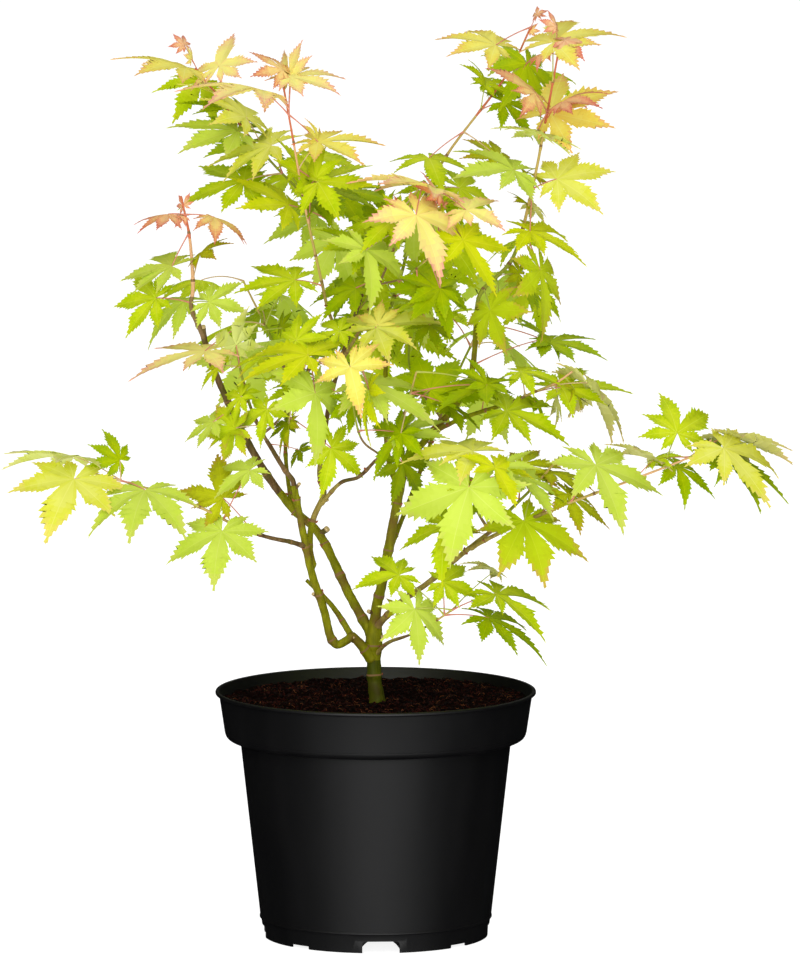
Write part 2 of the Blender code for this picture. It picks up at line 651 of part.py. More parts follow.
def build_soil(home, mat, stand):
    edge = collar_r(SOIL_EDGE_Z, WALL) - GAP - 0.2
    top = [(0, SOIL_Z), (SOIL_PAD_R, SOIL_Z), (24, SOIL_Z + 0.6), (42, SOIL_Z), (60, SOIL_Z - 1.4),
           (76, SOIL_Z - 3), (edge, SOIL_EDGE_Z)]
    low = COLLAR_Z + WALL + GAP
    side = [(collar_r(low + 3, WALL) - 2.4 - GAP, low + 0.6), (wall_r(low, WALL) - 0.6, low + 0.2),
            (wall_r(COLLAR_Z - 4, WALL) - GAP - 0.1, COLLAR_Z - 4), (wall_r(16, WALL) - GAP - 0.1, 16),
            (WALL_LOW_R - WALL - 4, FLOOR_Z + WALL + GAP), (0, FLOOR_Z + WALL + GAP)]
    soil = baked(turned("soil turning", top + side, home, mat, stand), "soil", home, mat, stand)
    for vert in soil.data.vertices:
        radius = math.hypot(vert.co.x, vert.co.y) / MM
        if vert.co.z > (SOIL_EDGE_Z - 0.5) * MM and radius > SOIL_PAD_R + 2:
            lump = noise.noise(Vector((vert.co.x, vert.co.y, 0.0)) * 60.0 + Vector((3.1, 7.7, SEED)))
            vert.co.z += SOIL_LUMP * MM * lump * (0.4 if radius > 85 else 1.0)
    return soil


# ---------------------------------------------------------------- the plant

def build_limbs(home, guides, mat, stand, neighbours):
    """Every limb as its own solid, cut clear of the limb that it leaves."""
    drawn = {}
    for name, manner, carrier, bends, sizes in LIMBS:
        lead = None
        if manner == "tip":
            line, _ = drawn[carrier]
            lead = (line[-1] - line[-2]).normalized()
            bends = (line[-1] + lead * (GAP + 0.05), *bends)
        elif manner is None:
            lead = Vector((0, 0, 1))
        line = course(bends, lead)
        drawn[name] = (line, taper(line, sizes))
    for name, manner, carrier, _, _ in LIMBS:
        line, radii = drawn[name]
        limb = rod(name, line, radii, home, mat, stand)
        if manner == "side":
            for near in near_limbs(name, carrier):
                other, girth = drawn[near]
                guide = rod(f"{near} clearance", other, girth, guides, parent=stand, extra=GAP)
                boolean(limb, f"clear of {near}", "DIFFERENCE", operand=guide)
                apply_modifiers(limb)
                bpy.data.objects.remove(guide, do_unlink=True)
            keep_largest(limb.data)
        neighbours.add_rod(line, radii, name)
    return drawn


def near_limbs(name, carrier):
    """The limb that carries this one, and those that share its joint and stand before it."""
    order = [limb[0] for limb in LIMBS]
    joint = [carrier]
    for other, manner, base, _, _ in LIMBS:
        if other == name:
            continue
        follows = manner == "tip" and base == carrier
        shares_flank = manner == "side" and base == carrier and order.index(other) < order.index(name)
        if follows or shares_flank:
            joint.append(other)
    return joint


def main():
    clear_scene()
    home = collection("potted Japanese maple")
    guides = collection("cutters and guides")
    mats = {name: material(name) for name in LOOKS}
    stand = add("stand", None, home)
    stand.location = (POT_X * MM, POT_Y * MM, 0)

    build_pot(home, guides, mats["pot"], stand)
    build_soil(home, mats["soil"], stand)

    neighbours = Neighbours()
    drawn = build_limbs(home, guides, mats["wood"], stand, neighbours)

    triangle = bpy.data.curves.new("three-sided section", "CURVE")
    triangle.dimensions = "2D"
    outline = triangle.splines.new("POLY")
    outline.points.add(2)
    for i, point in enumerate(outline.points):
        angle = math.radians(90 + 120 * i)
        point.co = (MM * math.cos(angle), MM * math.sin(angle), 0, 1)
    outline.use_cyclic_u = True
    section = add("three-sided section", triangle, guides)
    section.hide_render = True
    section.display_type = "WIRE"

    stems = {}
    for name, bough, twigs in MASSES:
        line, radii = drawn[bough]
        lead = (line[-1] - line[-2]).normalized()
        root = line[-1] + lead * (GAP + 0.05)
        stems[name] = draw_twigs(name, twigs, root, lead, radii[-1], neighbours)
    leaves = {name: grow_leaves(name, twigs, stems[name], neighbours) for name, _, twigs in MASSES}
    for name in stems:
        build_mass(name, stems[name], leaves[name], home, section, mats["leaves"], stand)
    bpy.data.objects.remove(section, do_unlink=True)


main()
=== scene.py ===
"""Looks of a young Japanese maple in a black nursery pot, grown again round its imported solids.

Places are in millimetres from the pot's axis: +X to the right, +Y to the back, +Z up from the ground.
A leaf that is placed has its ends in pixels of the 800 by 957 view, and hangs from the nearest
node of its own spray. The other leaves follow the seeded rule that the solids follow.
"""
import math
import random

import bmesh
import bpy
import numpy as np
from mathutils import Matrix, Vector, noise


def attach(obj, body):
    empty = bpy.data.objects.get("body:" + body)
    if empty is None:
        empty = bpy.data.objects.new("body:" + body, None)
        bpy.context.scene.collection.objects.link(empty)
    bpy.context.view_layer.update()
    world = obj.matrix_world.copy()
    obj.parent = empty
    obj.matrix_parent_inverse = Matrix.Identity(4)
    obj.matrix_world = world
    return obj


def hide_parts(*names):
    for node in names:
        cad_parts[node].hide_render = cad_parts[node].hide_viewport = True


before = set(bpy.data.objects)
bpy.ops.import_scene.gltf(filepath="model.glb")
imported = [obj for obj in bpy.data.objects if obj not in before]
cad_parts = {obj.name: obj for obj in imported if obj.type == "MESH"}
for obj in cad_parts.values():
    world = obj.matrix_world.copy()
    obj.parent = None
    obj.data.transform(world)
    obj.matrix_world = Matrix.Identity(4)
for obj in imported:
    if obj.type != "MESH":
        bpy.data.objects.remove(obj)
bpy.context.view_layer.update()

MM = 0.001
SEED = 7
SHARP, POT_SHARP = 60.0, 32.0    # degrees between faces at which an edge shows
FRAME_W, FRAME_H = 800, 957

# where the pot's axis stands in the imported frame, and the camera from that axis
POT_X, POT_Y = -17.0, -25.0
EYE = Vector((14.4, -6000.0, 1040.0))
EYE_DIP = 0.1271             # radians below level
EYE_PIXELS = 10227.0         # focal length in pixels of the view
TOWARD = Vector((0, -math.cos(EYE_DIP), math.sin(EYE_DIP)))      # from the plant to the camera
SENSOR = 36.0                # the longer side of the camera's frame
CLIP_END = 50.0              # metres

# studio, in metres: half the floor's width, then each lamp's place, width, height and watts
FLOOR_REACH = 20.0
LAMP_AIM = Vector((0, 0, 0.3))
LAMPS = {
    "key": ((-0.4, -2.9, 1.9), 2.8, 2.4, 45),
    "low fill": ((0.15, -3.3, 0.3), 4.0, 1.8, 52),
    "top": ((0.3, 1.2, 2.6), 2.4, 2.4, 14),
}

# pot
POT_STEPS = 180              # facets round it
RIM_R, RIM_Z, RIM_ROUND = 95.1, 147.0, 1.0
LIP_H, LIP_OUT, LIP_ROUND = 2.0, 2.0, 0.6
COLLAR_TOP_R, COLLAR_LOW_R, COLLAR_Z = 93.0, 89.6, 118.4
COLLAR_ROUND = 4.0           # the corner where the collar turns in under itself
WALL_TOP_R, WALL_LOW_R, WALL_LOW_Z = 80.5, 68.7, 12.6
FOOT_TOP_R, FOOT_LOW_R, FOOT_Z, FOOT_ROUND = 68.0, 66.8, 9.8, 0.7
WALL_IN_Z, WALL_MID_Z = 15, 60       # heights at which its section has a point, inside and out
WALL = 1.6
FLOOR_Z = 9.6
INNER_RING_R = 56.5
ARCHES = 4
ARCH_TURN, ARCH_W, ARCH_H, ARCH_ROUND = 2.8, 22.0, 6.9, 1.8
PANEL_W, PANEL_H, PANEL_R, PANEL_ROUND = 32.0, 7.4, 70.0, 1.0    # a shallow panel sunk round each arch
RECESS_W, RECESS_H = 14.0, 2.0
CUT_R, CUT_DEEP = 64.5, 8.0                                      # where blocks cut the foot ring
CHANNEL_R, CHANNEL_Z, CHANNEL_LONG = 13.0, -5.4, 124.0

# soil
SOIL_Z, SOIL_EDGE_Z, SOIL_HOLLOW, SOIL_LOW_Z = 141.2, 140.6, 2.4, 124.4
HOLLOW_R = 22
SOIL_RINGS, SOIL_SPOKES = 90, 300
# height of its lumps, clods, crumbs and grit, and how many of them there are to a millimetre
LUMPS, CLODS, SOIL_CRUMBS, GRIT = (1.9, 0.055), (1.6, 0.17), (0.9, 0.5), (0.5, 1.1)
CRUMBS, FIBRES = 2600, 1100
CRUMB_LOOKS = ("crumb",) * 2 + ("crumb red", "fibre dark")
FIBRE_LOOKS = ("fibre red",) * 3 + ("fibre dark",) * 2 + ("fibre pale",)
TRUNK_CLEAR = 7.0            # no litter nearer to the trunk's axis

# wood
GAP = 0.35                   # from a limb's tip to the foot of the next
SPAN = 9                     # pieces of a limb between two of its bends
STRAIGHT = 1.5               # how far a limb goes straight on before it bends
TWIG_TIP = 1.1
THICKEN = 1.14               # the bark stands out from the plain solids by this factor
NODES_APART = 26
LIMB_NODE, TWIG_NODE = (0.16, 1.8), (0.35, 1.4)      # a node's extra girth, and how far it reaches
COLLAR, COLLAR_RUN = 0.4, 2.5                        # a side limb's extra girth at its foot, and its run
BOUGH_NODES = (0.45, 0.7, 0.92)                      # shares of a bough where leaves may leave it
BUD_SHARE = 0.75             # of the places for buds that have one
STALK_R = 0.42
STALK_STEPS = 8

# leaves
STALK_SHARE = 0.66
STALK_RISE = 52.0
STALK_DROOP, STALK_KNEE = 0.12, 0.04     # how far its end sinks and its middle rises
LEAN_OUT = 0.004             # how much more a leaf turns away from the trunk, a millimetre further out
BACK_Y = 60.0                # leaves from here back face the back
JOG = 0.4
MIN_LEAF = 14.0
BIGGEST_LEAF = 52.0
NEAREST = -126.0             # no leaf in the front reaches further out than this
LEAF_ROOM = 22.0             # between the foot of a leaf that the rule adds and the next
LOBES = ((-140, 0.48), (-97, 0.7), (-50, 0.95), (0, 1.0), (50, 0.95), (97, 0.7), (140, 0.48))
MIDDLE = 3                   # which of the lobes is the middle one
OUTER_TURNS = ((2, 46, 125), (3, 88, 155))       # lobes out from it, turn from the first, widest angle
SEEN_TURN, SEEN_STRETCH = (30.0, 85.0), (0.5, 1.25)
OPEN_ENOUGH = 0.25           # how squarely a blade faces the view before its lobes are turned to fit
SETTLE = 8                   # rounds in which a blade's turn and its sag settle
LEVELS = 5                   # steps of tint from the middle of a leaf to its edges

# a lobe, as shares of its length
ROWS_IN = 4                  # rows of a lobe before it parts from its neighbours
TEETH, SMALL_TEETH, TEETH_END = 9, 5, 0.96
LOBE_WIDE, LOBE_ROOT, LOBE_VEE = (0.145, 0.185), (0.17, 0.27), (0.15, 0.35)
LOBE_BEND, LOBE_LIFT = (-0.1, 0.1), (-0.22, 0.04)
LANCE_PEAK, LANCE_SHARP = 0.46, 4.0
TOOTH_OUT, NOTCH_IN, TOOTH_AHEAD, BITE = 0.064, 0.022, 0.085, (0.4, 1.6)
QUILT, QUILT_DIP = 0.0064, 0.6                   # the swell at a side vein, and the dip between two
RIB_WIDE, RIB_UP, RIB_UNDER = 0.005, 0.004, 0.011       # as shares of the whole leaf's length
EDGE_SHADES = (0.24, 0.1, 0.0)                   # how much nearer to the edge's tint, from the edge in

# name, what it grows from ("tip" carries straight on, "side" leaves the flank), bends, diameters
LIMBS = (
    ("trunk", None, None, ((1, 0, 138.6), (0, 0, 146), (-1, 0, 158), (-1, 1, 174), (0, 2, 191)),
     (8.6, 7.2, 7.4, 9.2, 5.6)),
    ("bough_left_fork", "side", "trunk", ((-1, 0, 164), (-6, -3, 171), (-12, -6, 178.5)), (5.4, 4.6)),
    ("bough_left_crook", "tip", "bough_left_fork",
     ((-17.5, -8, 177.5), (-23, -10, 175.5), (-27, -12, 181), (-29, -14, 190)), (4.4, 4.4)),
    ("bough_left_riser", "tip", "bough_left_crook",
     ((-38, -22, 221), (-43, -27, 246), (-48, -30, 273)), (4.3, 3.4)),
    ("snag_left", "side", "bough_left_fork", ((-12, -5, 176), (-23, 2, 193), (-31, 6, 202), (-41, 4, 212)),
     (3.6, 2.0)),
    ("bough_left_inner", "tip", "bough_left_riser", ((-54, -30, 283), (-64, -26, 299)), (2.8, 2.2)),
    ("bough_left_arm", "side", "bough_left_riser",
     ((-41, -25, 236), (-50, -34, 240), (-63, -44, 244), (-75, -50, 249)), (2.5, 1.8)),
    ("bough_left_leader", "side", "trunk",
     ((-1, 1, 178), (-15, 12, 201), (-33, 24, 236), (-50, 30, 252), (-70, 32, 280), (-91, 26, 323),
      (-102, 18, 355)), (5.2, 3.0)),
    ("bough_middle", "side", "bough_left_riser",
     ((-37, -21, 222), (-39, -15, 236), (-37, -10, 250), (-32, -8, 261)), (3.5, 3.0)),
    ("bough_centre", "tip", "bough_middle",
     ((-33, -2, 279), (-27, 14, 318), (-19, 20, 346), (-8, 22, 381)), (2.9, 2.0)),
    ("bough_centre_front", "side", "bough_middle",
     ((-33, -8, 258), (-21, -20, 273), (-10, -30, 278), (0, -40, 289)), (2.2, 1.7)),
    ("bough_upper_left", "side", "bough_centre",
     ((-18, 20, 350), (-27, 4, 370), (-32, -6, 392)), (1.9, 1.6)),
    ("bough_centre_top", "side", "bough_centre",
     ((-21, 19, 340), (-10, 6, 360), (-1, -4, 382)), (1.9, 1.6)),
    ("bough_right", "tip", "trunk", ((4, -2, 212), (8, -4, 234), (12, -6, 256), (16, -8, 275)), (5.4, 4.4)),
    ("bough_right_leader", "tip", "bough_right",
     ((33, 4, 300), (47, 8, 315), (57, 11, 336), (60, 12, 374)), (3.8, 2.6)),
    ("bough_inner_right", "side", "bough_right",
     ((14, -7, 268), (8, -2, 283), (6, 6, 307), (6, 18, 355)), (3.0, 2.2)),
    ("bough_right_reach", "side", "bough_right_leader",
     ((33, 4, 300), (52, -4, 310), (76, -14, 319)), (2.5, 1.9)),
    ("bough_low_right", "side", "trunk",
     ((0, 1, 184), (14, -16, 201), (32, -30, 216), (51, -42, 234), (65, -48, 246)), (3.4, 2.4)),
    ("bough_right_arm", "side", "bough_low_right",
     ((55, -44, 237), (66, -57, 245), (84, -60, 254), (100, -60, 261)), (2.3, 1.8)),
    ("bough_low_front", "side", "trunk", ((0, 0, 168), (7, -14, 177), (17, -30, 183)), (2.2, 1.6)),
    ("bough_back_left", "side", "bough_left_leader",
     ((-50, 30, 252), (-54, 60, 282), (-52, 88, 312)), (2.4, 1.8)),
    ("bough_back_right", "side", "bough_right",
     ((8, -4, 230), (22, 28, 262), (36, 60, 296)), (2.6, 1.8)),
)
# the bark of a limb at its foot and at its tip, and the share of its length where it turns
BARKS = {
    # the trunk's foot is green bark darkened as painted shade
    "trunk": ("deep bark", "green bark", 0.5),
    "bough_left_leader": ("green bark", "old bark", 0.5), "bough_left_inner": ("old bark", "old bark", 0),
    "bough_middle": ("green bark", "tan bark", 0.7), "bough_left_arm": ("old bark", "old bark", 0),
    "bough_centre": ("tan bark", "old bark", 0.3), "bough_centre_front": ("tan bark", "old bark", 0.4),
    "bough_centre_top": ("tan bark", "tan bark", 0), "bough_upper_left": ("tan bark", "tan bark", 0),
    "bough_low_right": ("tan bark", "tan bark", 0), "bough_right_arm": ("tan bark", "tan bark", 0),
    "bough_low_front": ("tan bark", "tan bark", 0),
}
# cut stubs: the limb, the share of its length, which way the stub points, its length and its diameter
STUBS = (
    ("bough_left_leader", 0.335, (0.75, -0.4, 0.6), 4.5, 3.6),
    ("bough_left_leader", 0.985, (-0.1, -0.2, 1), 9, 2.6),
    ("bough_left_fork", 0.9, (-0.5, -0.5, 0.5), 2.5, 2.6), ("bough_right", 0.02, (-0.8, -0.5, 0.4), 3, 2.4),
    ("bough_middle", 0.97, (0.9, -0.2, 0.4), 3.5, 2.0), ("bough_left_riser", 0.97, (0.5, -0.5, 0.7), 4, 2.0),
    ("bough_left_riser", 0.2, (-0.8, -0.4, 0.3), 2.2, 2.0), ("trunk", 0.74, (0.8, -0.5, 0.2), 1.6, 2.6),
)

# Each spray: the bough whose tip it grows from, then its twigs. A twig is where it leaves the stem
# (None is the stem itself, else a share of it), its bends, and its pairs of leaves: share of the
# twig, turn about it in degrees, and the length of the two middle lobes.
SPRAYS = (
    ("leaves_left_arm", "bough_left_arm", (
        (None, ((-105, -60, 265), (-133, -60, 275), (-166, -50, 283)),
         ((0.33, 5, 22, 38), (0.64, 10, 34, 34), (1.0, 15, 34, 38))),)),
    ("leaves_left_inner", "bough_left_inner", (
        (None, ((-74, -24, 320), (-81, -18, 349), (-78, -12, 366)),
         ((0.2, 20, 30, 34), (0.5, 100, 34, 38), (0.78, 15, 32, 34), (1.0, 80, 30, 36))),
        (0.06, ((-57, -40, 313), (-44, -52, 333), (-38, -52, 350)),
         ((0.4, 60, 36, 38), (0.72, 0, 36, 36), (1.0, 75, 34, 40))))),
    ("leaves_left_crest", "bough_left_leader", (
        (None, ((-109, 14, 373), (-108, 14, 387), (-110, 12, 416), (-115, 10, 440)),
         ((0.1, 0, 38, 38), (0.42, 12, 20, 30), (0.74, 5, 26, 18), (1.0, 0, 14, 14))),)),
    ("leaves_upper_left", "bough_centre", (
        (None, ((-25, 36, 419), (-64, 46, 459), (-100, 44, 504), (-107, 42, 513)),
         ((0.14, 80, 36, 34), (0.3, 10, 36, 36), (0.45, 85, 38, 36), (0.6, 0, 40, 38),
          (0.73, 80, 36, 36), (0.85, 5, 34, 36), (0.98, 15, 32, 32))),)),
    ("leaves_upper_inner", "bough_upper_left", (
        (None, ((-42, -20, 440), (-49, -26, 481), (-54, -28, 509)),
         ((0.14, 5, 40, 38), (0.44, 0, 36, 38), (0.72, 15, 28, 26), (0.99, 0, 34, 34))),)),
    ("leaves_centre_top", "bough_centre_top", (
        (None, ((10, -20, 410), (21, -34, 441), (28, -38, 453)),
         ((0.14, 50, 36, 40), (0.42, 0, 36, 38), (0.76, 90, 34, 44), (1.0, 0, 36, 32))),
        (0.1, ((18, -22, 396), (38, -34, 414)),
         ((0.6, 80, 36, 40), (1.0, 0, 36, 34))))),
    ("leaves_centre_front", "bough_centre_front", (
        (None, ((7, -55, 303), (17, -62, 320), (24, -62, 344)),
         ((0.3, 0, 36, 34), (0.62, 80, 36, 40), (1.0, 15, 38, 38))),
        (0.08, ((-9, -60, 306), (-14, -78, 338), (-12, -80, 358)),
         ((0.35, 0, 34, 36), (0.68, 85, 36, 38), (1.0, 5, 38, 42))))),
    ("leaves_upper_right", "bough_right_leader", (
        (None, ((81, 4, 404), (92, -6, 445), (100, -14, 487), (107, -18, 526)),
         ((0.07, 90, 34, 38), (0.21, 0, 36, 30), (0.35, 60, 38, 38), (0.5, 10, 24, 24),
          (0.66, 0, 38, 36), (0.79, 80, 28, 30), (0.9, 0, 36, 30), (1.0, 20, 30, 30))),)),
    ("leaves_crest_right", "bough_inner_right", (
        (None, ((15, 28, 391), (26, 42, 428), (42, 52, 460), (77, 52, 507), (92, 46, 537)),
         ((0.12, 0, 36, 38), (0.28, 85, 36, 38), (0.43, 0, 34, 36), (0.56, 80, 36, 36),
          (0.72, 0, 32, 30), (0.86, 10, 30, 36), (1.0, 10, 22, 20))),)),
    ("leaves_right", "bough_right_reach", (
        (None, ((92, -24, 327), (106, -32, 334), (116, -32, 341)),
         ((0.14, 60, 34, 42), (0.46, 0, 32, 34), (0.76, 85, 32, 34), (1.0, 10, 38, 34))),)),
    ("leaves_right_arm", "bough_right_arm", (
        (None, ((130, -62, 273), (154, -56, 281), (190, -44, 294), (197, -40, 301)),
         ((0.28, 0, 26, 40), (0.52, 75, 26, 26), (0.84, 0, 20, 36), (1.0, 15, 42, 26))),)),
    ("leaves_low_right", "bough_low_right", (
        (None, ((78, -50, 260), (92, -50, 274), (108, -42, 291)),
         ((0.25, 85, 34, 44), (0.62, 10, 36, 34), (1.0, 50, 34, 34))),
        (0.04, ((58, -64, 266), (52, -74, 292)),
         ((0.55, 0, 36, 42), (1.0, 40, 40, 36))))),
    ("leaves_low_front", "bough_low_front", (
        (None, ((31, -46, 192), (45, -52, 202)),
         ((0.35, 0, 0, 34), (0.72, 20, 28, 30), (1.0, 55, 38, 38))),)),
    ("leaves_back_left", "bough_back_left", (
        (None, ((-62, 108, 342), (-80, 120, 378)),
         ((0.28, 0, 36, 36), (0.62, 85, 38, 36), (1.0, 15, 34, 34))),
        (0.08, ((-26, 108, 338), (-6, 122, 366)),
         ((0.6, 0, 34, 36), (1.0, 60, 34, 36))))),
    ("leaves_back_right", "bough_back_right", (
        (None, ((52, 90, 332), (74, 108, 372)),
         ((0.28, 0, 36, 36), (0.62, 85, 38, 36), (1.0, 15, 34, 34))),
        (0.08, ((20, 88, 330), (26, 96, 382)),
         ((0.6, 0, 34, 36), (1.0, 60, 34, 36))))),
)
# the looks of a spray's twigs: at their foot, half way and at their tips
TWIG_BARKS = {
    "leaves_left_arm": ("tan shoot", "tan shoot", "tan shoot"),
    "leaves_left_inner": ("brown shoot", "olive shoot", "olive shoot"),
    "leaves_left_crest": ("brown shoot", "peach shoot", "red shoot"),
    "leaves_upper_left": ("olive shoot", "olive shoot", "red shoot"),
    "leaves_upper_inner": ("tan shoot", "peach shoot", "red shoot"),
    "leaves_upper_right": ("olive shoot", "tan shoot", "red shoot"),
    "leaves_crest_right": ("olive shoot", "tan shoot", "red shoot"),
    "leaves_right": ("brown shoot", "tan shoot", "peach shoot"),
    "leaves_right_arm": ("tan shoot", "peach shoot", "peach shoot"),
}
